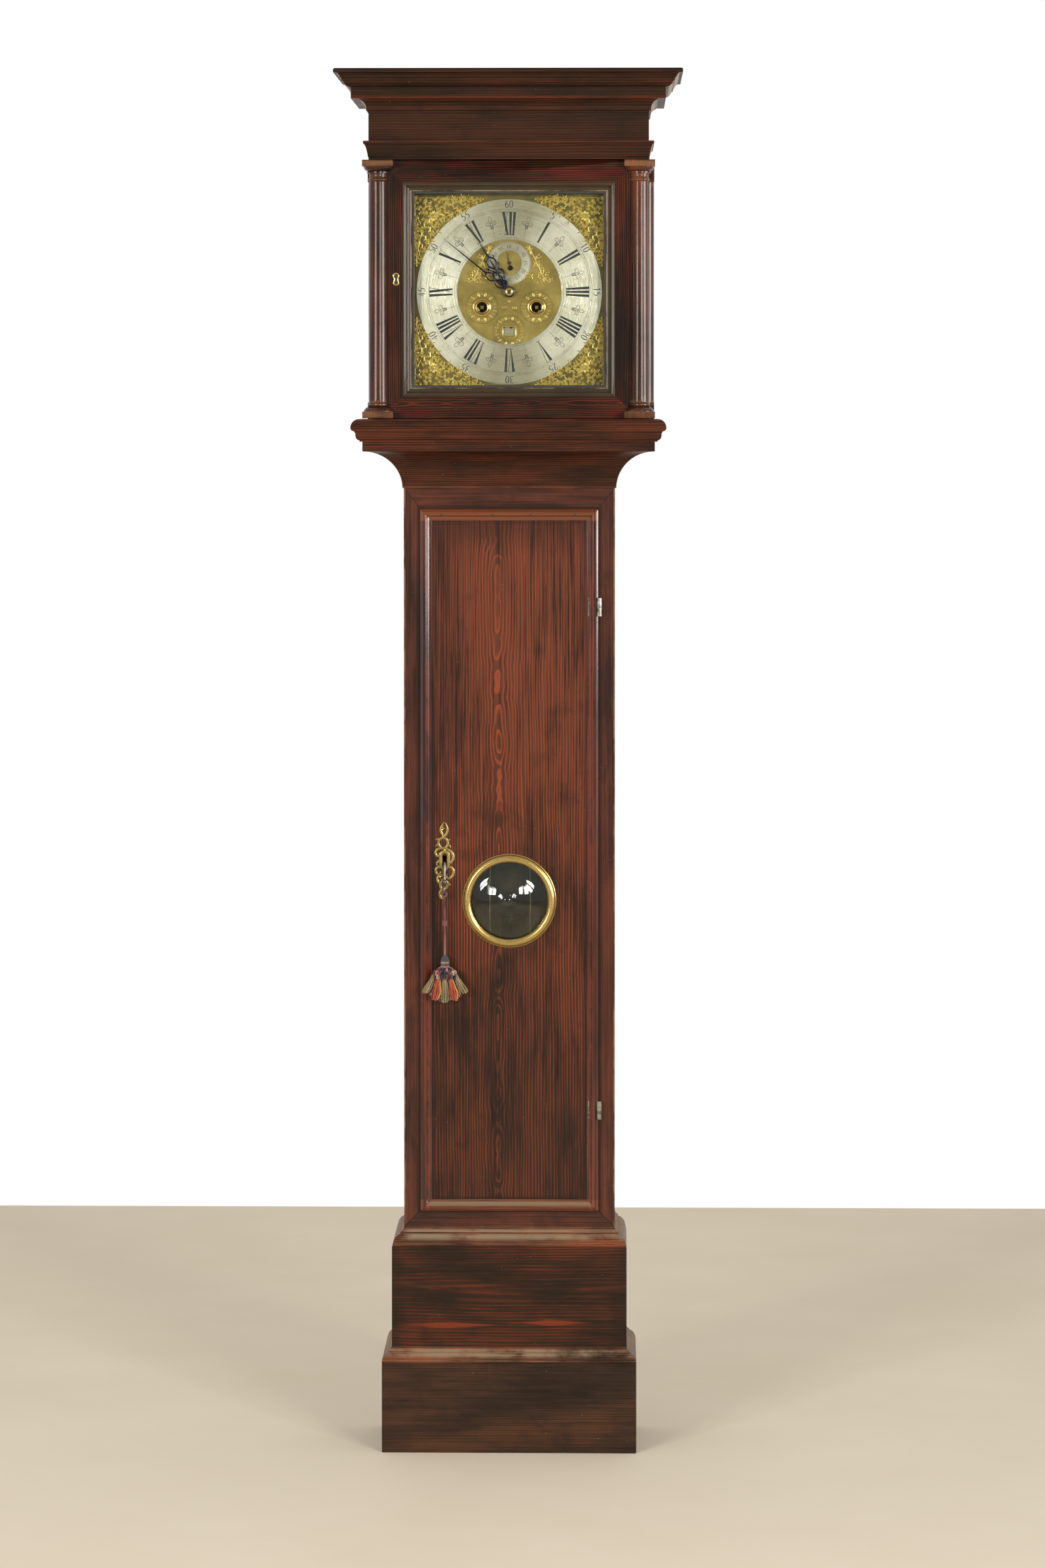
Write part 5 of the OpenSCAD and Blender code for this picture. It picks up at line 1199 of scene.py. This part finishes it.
def addHourHand(hand):
    stock, line, disc = handStock(hand)
    disc(16, 4.6, 5.6)
    for s in (-1, 1):
        line([(0, 8), (s * 2.2, 13), (s * 3.2, 20), (s * 7.6, 27), (s * 8.6, 34), (s * 5, 38), (s * 2.2, 34),
              (s * 4.4, 31)], [1.5, 1.4, 1.3, 1.2, 0.8])
        line([(0, 40), (s * 3, 44), (s * 6.6, 50), (s * 5.6, 57), (s * 1, 62), (0, 66)], [1.3, 1.2, 1.1, 1.0])
        line([(s * 3, 38), (s * 7, 42), (s * 9, 47), (s * 7, 49)], [1.0, 0.9, 0.5])
        line([(s * 5, 56), (s * 8, 60), (s * 6, 63)], [0.9, 0.8, 0.4])
        line([(s * 2, 20), (s * 1.2, 27), (0, 33)], [1.1, 0.9, 0.8])
    line([(0, 33), (0, 46), (0, 58)], [0.9, 1.2, 0.8])
    line([(0, 60), (0, 74), (0, hand["length"])], [1.7, 1.2, 0.25])
    rearOf("hour_hand", hand["back"] + 0.05, stock, 1)
    stock.make("hourHand", "hour", [bluedSteel, innerBrass], ("hour_hand",), "blued_steel", sharp=40)


def addMinuteHand(hand):
    stock, line, disc = handStock(hand)
    for s in (-1, 1):
        line([(0, 6), (s * 2, 11), (s * 5.2, 17), (s * 4.6, 24), (0, 28)], [1.2, 1.1, 1.0, 0.9])
        line([(0, 28), (s * 4.8, 33), (s * 5, 40), (s * 1.6, 45), (0, 49)], [1.0, 1.0, 0.9, 0.9])
        line([(s * 3, 43), (s * 6, 46), (s * 4.8, 50)], [0.8, 0.7, 0.4])
    line([(0, 10), (0, 20), (0, 27)], [0.7, 0.9, 0.7])
    line([(0, 44), (0, 90), (0, hand["length"])], [1.35, 0.9, 0.2])
    stock.turned([(r, hand["front"] - rise) for r, rise in hand["collet"]], steps=40, kind=2)
    rearOf("minute_hand", hand["back"] + 0.05, stock, 1)
    finishes = [bluedSteel, innerBrass, brightBrass]
    stock.make("minuteHand", "minute", finishes, ("minute_hand",), "blued_steel", sharp=40)


def addSecondsHand(hand):
    stock, line, disc = handStock(hand, secondsRing["up"])
    line([(0, 0), (0, 8), (0, hand["length"])], [0.8, 0.5, 0.15])
    line([(0, 0), (0, -5)], [0.6, 0.6])
    disc(-8, 3.4, 3.9)
    stock.make("secondsHand", "escape", [bluedSteel], ("seconds_hand",), "blued_steel", sharp=40)


addSecondsHand(hands["seconds"])
addHourHand(hands["hour"])
addMinuteHand(hands["minute"])
print("hands made")


# Trunk furniture: pierced keyhole plate, lenticle and its bullseye
plate = {
    "x": -100.5, "z": 921, "face": -29.5, "proud": 1.5, "bold": 1.22,
    "pins": ((-3.9, 43.4), (0.2, 11.8), (-6.8, -30.2)),
}
plateLines = [  # (points, half widths) in the plate's own millimetres, from the keyhole
    ([(0, 33), (-5, 38), (-6.2, 45), (-3.4, 51), (-0.7, 54.8), (2.6, 50.5), (4.2, 44), (3.2, 37.5), (0, 33)],
     [1.5, 1.7, 1.5, 1.2, 0.7, 1.1, 1.5, 1.7, 1.5]),
    ([(-0.5, 50), (-3.5, 47.5), (-1.5, 44.5), (1.5, 46)], [0.6, 1.0, 1.0, 0.5]),
    ([(-2, 31), (-8.4, 27.5), (-9.4, 20.5), (-4, 14.6), (2.4, 16), (5, 22), (2.6, 28.4), (-2, 31)],
     [1.6, 1.7, 1.7, 1.6, 1.6, 1.7, 1.7, 1.6]),
    ([(-8, 27), (-12, 29), (-15.4, 27)], [1.8, 1.3, 0.3]),
    ([(-9.5, 20), (-12.8, 19), (-14.6, 15.6)], [1.7, 1.2, 0.3]),
    ([(4.6, 25), (7.6, 27.6), (10.4, 28)], [1.7, 1.2, 0.3]),
    ([(4.8, 19.5), (8, 18.4), (9.6, 14.6)], [1.7, 1.2, 0.3]),
    ([(-2, 31), (-3.6, 34.6), (0, 36)], [1.2, 1.3, 1.0]),
    ([(-1, 14), (-6.4, 14.4), (-12, 12), (-14.2, 6.6), (-11, 2.2), (-7.4, 4.4), (-9, 7.4)],
     [1.3, 1.6, 1.7, 1.6, 1.5, 1.2, 0.8]),
    ([(1, 14.4), (7.2, 11.2), (12.4, 5.4), (12.8, -3), (8.6, -8.6), (5.2, -6), (7.4, -3)],
     [1.3, 1.7, 1.8, 1.7, 1.6, 1.2, 0.7]),
    ([(0, 9.5), (-5.3, 6), (-6.2, -2), (-5.8, -10), (-3.6, -15.5), (0, -17.6), (3.6, -15.5), (5.8, -10),
      (6.2, -2), (5.3, 6), (0, 9.5)], [1.9, 2.1, 2.0, 1.9, 1.9, 2.0, 1.9, 1.9, 2.0, 2.1, 1.9]),
    ([(-6, -4), (-10, -6.4), (-12.4, -10.4), (-9.4, -12.8)], [1.6, 1.5, 1.2, 0.6]),
    ([(-3, -15), (-9, -14.4), (-13.6, -18.4), (-12.4, -24.4), (-7.4, -25.4), (-6.4, -21.6)],
     [1.5, 1.7, 1.7, 1.6, 1.3, 0.8]),
    ([(3, -15), (9.4, -15), (13.4, -20.4), (12.4, -28), (7, -32.6), (2.6, -30), (4.4, -26)],
     [1.5, 1.7, 1.8, 1.7, 1.6, 1.3, 0.8]),
    ([(0, -17), (-1.4, -23), (0, -29), (-2, -34)], [1.8, 1.6, 1.5, 1.4]),
    ([(-2, -27.5), (-7.6, -28), (-11.4, -32.4), (-9.6, -38.4), (-5, -38.8), (-4, -34.6), (-6.6, -33)],
     [1.2, 1.5, 1.6, 1.5, 1.4, 1.1, 0.6]),
    ([(-1, -35.5), (3.4, -37.6), (4.6, -43), (1, -48.6), (-4.6, -48.4), (-6.8, -43), (-4.6, -37.8),
      (-1, -35.5)], [1.5, 1.6, 1.6, 1.6, 1.6, 1.6, 1.6, 1.5]),
    ([(-2, -49), (-6.4, -52.4), (-7.8, -58), (-4.6, -63.6), (-0.6, -61.6), (-1.4, -57.6), (-4, -57)],
     [1.5, 1.6, 1.6, 1.4, 1.2, 0.9, 0.5]),
    ([(4, -40), (7.4, -40.6), (8.8, -44)], [1.2, 1.0, 0.3]),
]


def addKeyholePlate(sizes):
    stock = Stock((sizes["x"], 0, sizes["z"]))
    for points, widths in plateLines:
        line = smoothLine(points, 5)
        widths = spreadWidths([w * sizes["bold"] for w in widths], len(line))
        stock.strap(line, widths, sizes["face"], sizes["proud"])
    for x, z in sizes["pins"]:
        stock.dome((x, sizes["face"] - 1.0, z), 1.5, 0.6, 1)
    stock.make("keyholePlate", "trunk_door", [agedBrass, brightBrass], ("trunk_escutcheon",),
               "clock_brass", sharp=45)


lenticle = {
    "z": 854, "face": -29.5, "ringMiddle": 65.3, "ringHalf": 5.8, "ringProud": 6.25,
    "lip": [(71.2, -30.5), (71.9, -31), (72.7, -30.6), (73, -29.48), (59.5, -29.48)],
    "bed": [(60.5, -21.4), (65.8, -21.4), (65.8, -18.6), (60.5, -18.6)],
    "glass": 65.8, "glassFront": -25.4, "glassBack": -21.5, "clear": 60.5, "steps": 72, "rings": 30,
    "crown": (-5.7, -0.8), "ball": 99, "flare": 38, "boss": (-3, 1), "bossRadius": 9, "bossProud": 3.6,
}


def addLenticle(sizes):
    stock = Stock((0, 0, sizes["z"]))
    angles = [math.pi * k / 14 for k in range(15)]
    middle, half, face, proud = sizes["ringMiddle"], sizes["ringHalf"], sizes["face"], sizes["ringProud"]
    profile = [(middle - math.cos(a) * half, face - math.sin(a) * proud) for a in angles]
    stock.turned(profile + sizes["lip"], steps=96)
    stock.turned(sizes["bed"], steps=96)
    stock.make("lenticleRing", "trunk_door", [ringBrass], ("lenticle_ring",), "clock_brass", sharp=50)


def addBullseye(sizes):
    # blown glass: a dome a little thicker in its middle, hollow behind, with the pontil boss off centre
    steps, rings = sizes["steps"], sizes["rings"]
    stock = Stock((0, 0, sizes["z"]))
    bx, bz = sizes["boss"]

    def bulge(x, z):
        # part of a ball that flares out flat at the ring
        clear, ball, flare = sizes["clear"], sizes["ball"], sizes["flare"]
        near = max(0, 1 - math.hypot(x, z) / clear) ** 0.5
        d = math.hypot(x - sizes["crown"][0] * near, z - sizes["crown"][1] * near)
        waist = math.sqrt(ball ** 2 - flare ** 2)
        rim = flare / waist * (clear - flare) / 2
        if d < flare:
            return rim + math.sqrt(ball ** 2 - d * d) - waist
        return rim * max(0, (clear - d) / (clear - flare)) ** 2

    def front(x, z):
        d = math.hypot(x - bx, z - bz)
        boss = sizes["bossProud"] * max(0, 1 - (d / sizes["bossRadius"]) ** 2) ** 0.75
        ring = 0.9 * math.exp(-((d - sizes["bossRadius"] - 2) / 1.8) ** 2)
        return sizes["glassFront"] - bulge(x, z) - boss - ring

    def back(x, z):
        return sizes["glassBack"] - bulge(x, z) * 0.96 + 0.1 * math.sin(x * 0.09 - z * 0.13)

    points, faces, rims = [], [], []
    for shape in (front, back):
        start = len(points)
        points.append((0, shape(0, 0), 0))
        for i in range(1, rings + 1):
            r = sizes["glass"] * (i / rings)
            for k in range(steps):
                a = 2 * math.pi * k / steps
                x, z = r * math.cos(a), r * math.sin(a)
                points.append((x, shape(x, z), z))
        for k in range(steps):
            m = (k + 1) % steps
            faces.append((start, start + 1 + m, start + 1 + k))
            for low in range(start + 1, start + 1 + (rings - 1) * steps, steps):
                faces.append((low + k, low + m, low + m + steps, low + k + steps))
        rims.append(len(points) - steps)
    near, far = rims
    for k in range(steps):
        m = (k + 1) % steps
        faces.append((near + k, near + m, far + m, far + k))
    stock.add(points, faces)
    stock.make("bullseyeGlass", "trunk_door", [bullseye], ("lenticle_glass",), "clear_glass", sharp=50)


nails = {
    "face": -29.5, "places": ((-104.5, 1453), (-25.3, 1452.6), (33.8, 1452.2), (102, 1453.2)),
    "profile": [(1.7, 0), (1.7, -9.5), (1.2, -9.9), (0.02, -10)],
}


def addNails(sizes):
    # heads of the nails in the moulding's top strip
    stock = Stock()
    for x, z in sizes["places"]:
        stock.turned(sizes["profile"], (x, sizes["face"], z), "y", 16)
    stock.make("mouldingNails", "trunk_door", [oldIron], (), "iron", sharp=40)


hoodKeyhole = {
    "x": -173.5, "z": 1816, "face": -66.5, "band": 1.25, "proud": 1.3,
    "left": [(0, 8.9), (-3.2, 7.6), (-4.2, 4.6), (-3.2, 1.6), (-2.6, -0.6), (-3.2, -4), (-4, -6.6),
             (-2.6, -8.4), (0, -8.8)],
}


def addHoodKeyhole(sizes):
    # brass liner in the shape of a keyhole; the door's pivots are kept from the solid
    line = sizes["left"] + [(-u, v) for u, v in reversed(sizes["left"][:-1])]
    face = sizes["face"]
    stock = Stock((sizes["x"], 0, sizes["z"]))
    stock.strap(smoothLine(line, 3), sizes["band"], face + 0.3, sizes["proud"])
    stock.slab([(u * 0.8, v * 0.9) for u, v in line[:-1]], face - 0.15, face + 0.3, 1)
    rearOf("hood_door_fittings", face + 0.2, stock, 2)
    stock.make("hoodKeyhole", "hood_door", [brightBrass, blackWax, oldIron], ("hood_door_fittings",),
               "clock_brass", sharp=45)


glassFillet = {"inner": 145.6, "width": 4, "foot": 1648.8, "head": 1951.2}


def addGlassLine(sizes):
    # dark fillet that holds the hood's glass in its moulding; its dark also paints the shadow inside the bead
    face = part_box("hood_glass")[0].y / mm
    inner, outer, foot, head = sizes["inner"], sizes["inner"] + sizes["width"], sizes["foot"], sizes["head"]
    stock = Stock()
    for near, far in ((-outer, -inner), (inner, outer)):
        stock.board((near, face - 3, foot), (far, face + 0.1, head))
    for z in (foot, head - sizes["width"]):
        stock.board((-inner - 0.1, face - 2.8, z), (inner + 0.1, face + 0.1, z + sizes["width"]))
    stock.make("glassFillet", "hood_door", [puttyAndShadowDark], (), "dark_wood", bevel=0.4)


# dark putty whose colour also paints the shadow inside the glass bead
puttyAndShadowDark = plainFinish("puttyAndShadowDark", tint(52, 47, 36), tint(34, 30, 24), 0.5, 0, 90, 0.4)
ringBrass = brassFinish("ringBrass", tint(186, 158, 92), tint(112, 84, 44), 0.45, 0.24, 40, 0.2, metal=0.8)
bullseye = bullseyeGlass()
addKeyholePlate(plate)
addLenticle(lenticle)
addBullseye(lenticle)
addNails(nails)
addGlassLine(glassFillet)
addHoodKeyhole(hoodKeyhole)
print("door furniture made")


# Case: every board keeps its CAD place, with worn edges and a finish for each direction of grain.
# A shade takes the finish, the colour so far and two noises: broad blotches and fine fibres.
def trunkShade(f, colour, blotch, fine):
    # painted shade and grey-black polish beside the door moulding, grey-black polish in the mitres, and the
    # outer arris is rubbed
    # painted shade and grey-black polish in the crease beside the proud door moulding
    near = (abs(f.x) - 0.1385).most((f.z - 1.462).most(0.371 - f.z))
    lip = 1 - f.step(near + (blotch - 0.5) * 0.004, 0.0, 0.008)
    arris = f.step(abs(f.x) + (blotch - 0.5) * 0.002, 0.1602, 0.1635)
    side = abs(f.x) - 0.1305
    joint = abs(side * 1.21 - (f.z - 1.454)).least(abs(side - (0.379 - f.z)))
    colour = f.mix(lip * 0.75, colour, tint(30, 27, 26))
    colour = f.mix((1 - f.step(joint, 0.0004, 0.0016)) * 0.7, colour, tint(22, 20, 19))
    return f.mix(arris * f.step(blotch, 0.4, 0.6) * 0.7, colour, tint(150, 122, 100))


def doorShade(f, colour, blotch, fine):
    # redder above and right of the middle, darker towards the foot and the left, with painted shade and grime
    # under the top of the moulding
    above = f.step(f.z + f.x * 0.5, 0.75, 1.38)
    left = 1 - f.step(f.x, -0.1, -0.03)
    colour = f.mix(above * f.step(fine, 0.35, 0.6) * 0.45, colour, tint(120, 62, 42))
    colour = f.mix(left * 0.28 * above, colour, tint(66, 36, 30))
    low = 1 - f.step(f.z + (blotch - 0.5) * 0.2, 0.42, 0.95)
    colour = f.mix(low * 0.4, colour, tint(30, 22, 18))
    # painted shade and grime under the top strip of the moulding
    top = f.step(f.z + (blotch - 0.5) * 0.06, 1.385, 1.44)
    return f.mix(top * 0.5, colour, tint(40, 28, 24))


def lipShade(f, colour, blotch, fine):
    # uprights with painted shade in the hollow and rubbed on the rounds; the strip above is dry and orange,
    # the one below dusty
    across = abs(f.x)
    # painted shade in the hollow of the uprights
    hollow = 1 - f.step(abs(across - 0.1335), 0.0, 0.0018)
    rubbed = 1 - f.step(abs(across - 0.1265), 0.001, 0.004)
    upright = 1 - f.step(f.z, 1.4425, 1.445)
    colour = f.mix(hollow * upright * 0.8, colour, tint(24, 19, 18))
    colour = f.mix(rubbed * upright * f.step(blotch, 0.36, 0.6) * 0.6, colour, tint(140, 62, 38))
    dry = (1 - upright) * (0.3 + fine * 0.6)
    colour = f.mix(dry, colour, tint(126, 70, 38))
    under = 1 - f.step(f.z, 0.3885, 0.3905)
    worn = under * f.step(abs(f.z - 0.378), 0.0, 0.004)
    colour = f.mix(under * f.step(fine, 0.35, 0.6) * 0.6, colour, tint(130, 68, 38))
    return f.mix(worn * f.upward().most(0) * 0.9, colour, tint(150, 128, 98))


def baseShade(f, colour, blotch, fine):
    # two flame figures low on the panel, and grime at its ends
    x, z = f.x + 0.09, f.z - 0.196
    wide = f.noise(f.vector(f.x * 9, f.y, f.z * 50), 1, 2)
    flame = 1 - f.step(abs(z) * 9 + abs(x) * 0.75 + wide * 0.09, 0.075, 0.11)
    other = 1 - f.step(abs(f.z - 0.2) * 11 + abs(f.x - 0.06) * 0.8 + wide * 0.09, 0.075, 0.11)
    colour = f.mix(flame.most(other) * 0.55, colour, tint(140, 58, 30))
    ends = f.step(abs(f.x) + (blotch - 0.5) * 0.05, 0.15, 0.185)
    return f.mix(ends * 0.6, colour, tint(30, 26, 22))


def hoodDoorShade(f, colour, blotch, fine):
    # the corners and the moulding round the glass are grey with old polish, and its rim is rubbed
    x, z = abs(f.x), abs(f.z - 1.8)
    corner = f.step(x + z + (blotch - 0.5) * 0.04, 0.352, 0.385)
    colour = f.mix(corner * 0.75, colour, tint(44, 40, 36))
    bead = (1 - f.step(x, 0.163, 0.1645)) * (1 - f.step(z, 0.1645, 0.166))
    colour = f.mix(bead * 0.75, colour, f.mix(blotch, tint(46, 41, 32), tint(78, 70, 52)))
    rim = bead * (1 - f.step((x - 0.1495).most(z - 0.151), 0.0006, 0.0022))
    return f.mix(rim * f.step(blotch, 0.4, 0.6) * 0.7, colour, tint(170, 152, 116))


trunkWood = threeWays("trunkWood", **stain((42, 27, 22), (72, 41, 31), (92, 50, 36), (130, 58, 36)),
                      shade=trunkShade, heart=(320, 40), lineGap=2.2, lineShare=0.35, tilt=0.003, coat=0.3,
                      streaks=0.6)
doorWood = wood("doorWood", "z", **stain((35, 25, 20), (63, 38, 29), (84, 47, 33), (150, 68, 40)),
                shade=doorShade, box=(-121, 388, 121, 1444), heart=(-17, 32), lineGap=4.4, tilt=0.003,
                wobble=7, roll=46, edge=9, edgeShare=0.85, lineShare=0.8, coat=0.25, streaks=0.8)
sideWood = threeWays("sideWood", **stain((34, 22, 18), (54, 31, 23), (74, 41, 29)), heart=(60, 200))
lipWood = threeWays("lipWood", **stain((44, 24, 20), (74, 36, 27), (100, 48, 34)),
                    shade=lipShade, lineShare=0.2, coat=1.0, rough=0.2, heart=(200, 80))
baseWood = threeWays("baseWood", **stain((34, 25, 19), (52, 33, 24), (74, 39, 26), (112, 50, 29)),
                     shade=baseShade, heart=(250, 30), lineGap=4.6, tilt=0.02, wobble=8, lineShare=0.6)
skirtWood = threeWays("skirtWood", **stain((36, 27, 22), (54, 38, 29), (78, 50, 34), (92, 58, 38)),
                      lineShare=0.3, heart=(300, 60), rough=0.46, streaks=0.35, specks=0.8)
footWood = threeWays("footWood", **stain((40, 27, 21), (78, 46, 32), (126, 66, 40), (150, 84, 52)),
                     dustShare=0.92, rough=0.45, coat=0.05)
hoodWood = threeWays("hoodWood", **stain((28, 19, 15), (42, 26, 19), (64, 35, 24), (104, 48, 29)),
                     lineShare=0.4, heart=(260, 60), lineGap=2.4)
throatWood = threeWays("throatWood", **stain((34, 23, 18), (56, 32, 22), (78, 40, 26), (122, 54, 30)),
                       heart=(400, 50), lineGap=3.6, wobble=9, lineShare=0.5, coat=0.1, hair=0.6,
                       shade=wornLines([(1599.5, 1.4, 0.5), (1583, 2, 0.35), (1566.5, 1.6, 0.4),
                                        (1495.5, 2, 0.6)], tint(118, 68, 42)))
corniceWood = threeWays("corniceWood", **stain((30, 22, 16), (41, 27, 19), (56, 33, 22), (96, 46, 28)),
                        heart=(500, 40), lineGap=4, lineShare=0.4, coat=0.03, rough=0.5,
                        shade=wornLines([(2116, 2.0, 0.4), (2091, 4.5, 0.45), (2077.5, 2.5, 0.3),
                                         (2026, 1.2, 0.5)], tint(104, 48, 30)))
columnWood = threeWays("columnWood", **stain((36, 24, 19), (66, 40, 29), (100, 58, 40)),
                       lineShare=0.3, coat=0.32, rough=0.3, specks=0.2,
                       shade=wornLines([(1972, 7, 0.5), (1992, 6, 0.6), (1626, 6, 0.5), (1608, 7, 0.6)],
                                       tint(140, 98, 66), returns=0))
bareWood = threeWays("bareWood", **stain((92, 70, 48), (126, 98, 68), (150, 118, 82), (104, 76, 48)),
                     lineShare=0.5, grime=tint(60, 48, 36), rough=0.7, coat=0.0)
doorFrameWood = threeWays("hoodDoorWood", **stain((27, 19, 16), (40, 24, 19), (60, 31, 22), (132, 52, 28)),
                          shade=hoodDoorShade, lineShare=0.6, heart=(1625, 66), lineGap=3.4, coat=0.15,
                          rough=0.36, roll=34, tilt=0.01, hair=0.3)

for node, finishes, slot, bevel, joints in (
    ("trunk_frame", trunkWood, "stained_wood", 0.7, mitred(163.5, 346, 1494, 130.5, 379, 1454)),
    ("trunk_door_board", [doorWood] * 3, "stained_wood", 0.5, {}),
    ("trunk_sides", sideWood, "stained_wood", 0.8, {}),
    ("door_moulding", lipWood, "stained_wood", 0.3, mitred(138.5, 371, 1462, 120, 389.5, 1443.5)),
    ("base_boards", baseWood, "stained_wood", 0.9, {}),
    ("foot_skirt", skirtWood, "dark_wood", 1.2, {}),
    ("foot_moulding", footWood, "stained_wood", 0.4, {}),
    ("base_moulding", footWood, "stained_wood", 0.4, {}),
    ("throat_moulding", throatWood, "stained_wood", 0.6, {}),
    ("hood_base_moulding", throatWood, "stained_wood", 0.4, {}),
    ("hood_carcass", hoodWood, "stained_wood", 0.8, {}),
    ("dial_mask", hoodWood, "dark_wood", 0.4, {}),
    ("hood_frieze", corniceWood, "stained_wood", 0.4, {}),
    ("hood_cornice", corniceWood, "stained_wood", 0.5, {}),
    ("hood_door_frame", doorFrameWood, "dark_wood", 0.4, mitred(201, 1602, 1998, 149.5, 1649, 1951)),
    ("hood_columns", columnWood, "gilt_wood", 0.3, {}),
    ("rear_columns", columnWood, "gilt_wood", 0.3, {}),
    ("backboard", bareWood, "plain_wood", 0.8, {}),
    ("seatboard", bareWood, "plain_wood", 0.6, {}),
):
    dressed(node, finishes, slot, bevel, **joints)
print("case dressed")

# Pieces whose CAD shape is right
for nodes, material in (
    (["dial_plate"], dialFinish(dialCentre)),
    (["dial_rings", "date_ring"], silvered),
    (["movement_frame", "back_cocks", "going_barrel", "strike_barrel"], innerBrass),
    (["bell"], bellMetal),
    (["pallet_anchor", "hammer"], greySteel),
    (["pendulum_rod", "trunk_lock"], oldIron),
    (["pendulum_bob"], dullBrass),
    (["going_pulley", "strike_pulley"], agedBrass),
    (["going_weight", "strike_weight"], castIron),
    (["case_hinge_leaves", "door_hinge_leaves"], wornSteel),
    (["hood_glass"], clearGlass()),
):
    coat(nodes, material)
for node in ("centre_wheel", "third_wheel", "escape_wheel", "minute_wheel", "pin_wheel", "locking_wheel",
             "warning_wheel", "fly"):
    x, y, z = middleOf(node)
    coat([node], wheelFinish(node + "Brass", x / mm, z / mm))
for side in ("going", "strike"):  # a gut line hangs from the case above round its pulley below; it is dressed in place and rides on no body
    x, y, z = middleOf(side + "_pulley")
    strung = dressed(side + "_line", [gut] * 3, "gut", 0, 50, rides=False)
    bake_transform(strung)
print("carried pieces finished")


# Studio: a pale floor, white walls for what the camera, gloss and glass see, and five soft boxes
studio = {
    "floor": tint(246, 231, 206), "floorWear": tint(241, 225, 199),
    "reach": (9, 9, 2.15),  # of the floor to the sides, to the front and to the back, in metres
    "boxes": [  # place, size, power in watts, and whether the box lights or is only mirrored
        ((-3.25, -5.0, 2.15), (0.62, 1.3), 29, True), ((-2.5, -5.4, 2.1), (0.66, 1.2), 23.5, True),
        ((2.4, -5.35, 2.1), (0.66, 1.2), 25.5, True), ((3.2, -4.9, 2.1), (0.62, 1.3), 29, True),
        ((3.3, -1.1, 1.95), (1.5, 1.7), 62, False),
    ],
    "aim": (0, 0, 1.2), "spread": 110,
    "ambient": 0.55, "dim": 0.3, "bright": 1.0,  # the walls as light, and as gloss sees them
}


def addStudio(room):
    sideSheenAndDust, front, behind = room["reach"]
    corners = [(-sideSheenAndDust, -front, 0), (sideSheenAndDust, -front, 0), (sideSheenAndDust, behind, 0), (-sideSheenAndDust, behind, 0)]
    paint = Finish("studioFloor", {"Roughness": 0.7, "Specular IOR Level": 0.1})
    cloud = paint.noise(paint.point, 3, 4)
    paint.set(colour=paint.ramp(cloud, [(0.3, room["floorWear"]), (0.7, room["floor"])]))
    mesh = bpy.data.meshes.new("studioFloor")
    mesh.from_pydata(corners, [], [(0, 1, 2, 3)])
    mesh.materials.append(paint.material)
    made = bpy.data.objects.new("studioFloor", mesh)
    scene.collection.objects.link(made)
    for i, (spot, size, power, lighting) in enumerate(room["boxes"]):
        data = bpy.data.lights.new("softBox" + str(i), "AREA")
        data.shape, (data.size, data.size_y), data.energy = "RECTANGLE", size, power
        data.spread = math.radians(room["spread"])
        lamp = bpy.data.objects.new("softBox" + str(i), data)
        lamp.location, lamp.visible_diffuse = spot, lighting
        lamp.rotation_euler = (Vector(room["aim"]) - Vector(spot)).to_track_quat("-Z", "Y").to_euler()
        scene.collection.objects.link(lamp)
    world = bpy.data.worlds.new("studio")
    scene.world = world
    world.use_nodes = True
    tree = world.node_tree
    light = tree.nodes.new("ShaderNodeLightPath")
    way = tree.nodes.new("ShaderNodeSeparateXYZ")
    tree.links.new(tree.nodes.new("ShaderNodeTexCoord").outputs["Generated"], way.inputs[0])
    away = ((Wire(way.outputs[1]) + 0.8) * 1.4).most(0).least(1)  # 0 on the camera's side of the room
    seen = Wire(light.outputs["Is Camera Ray"]) + Wire(light.outputs["Is Transmission Ray"])
    glossy = Wire(light.outputs["Is Glossy Ray"])
    level = seen.most(glossy * (away * (room["bright"] - room["dim"]) + room["dim"]))
    level = level.most(room["ambient"] * (1 - glossy))
    background = tree.nodes["Background"]
    background.inputs["Color"].default_value = (1, 1, 1, 1)
    join(level, background.inputs["Strength"])


addStudio(studio)
print("studio lit")
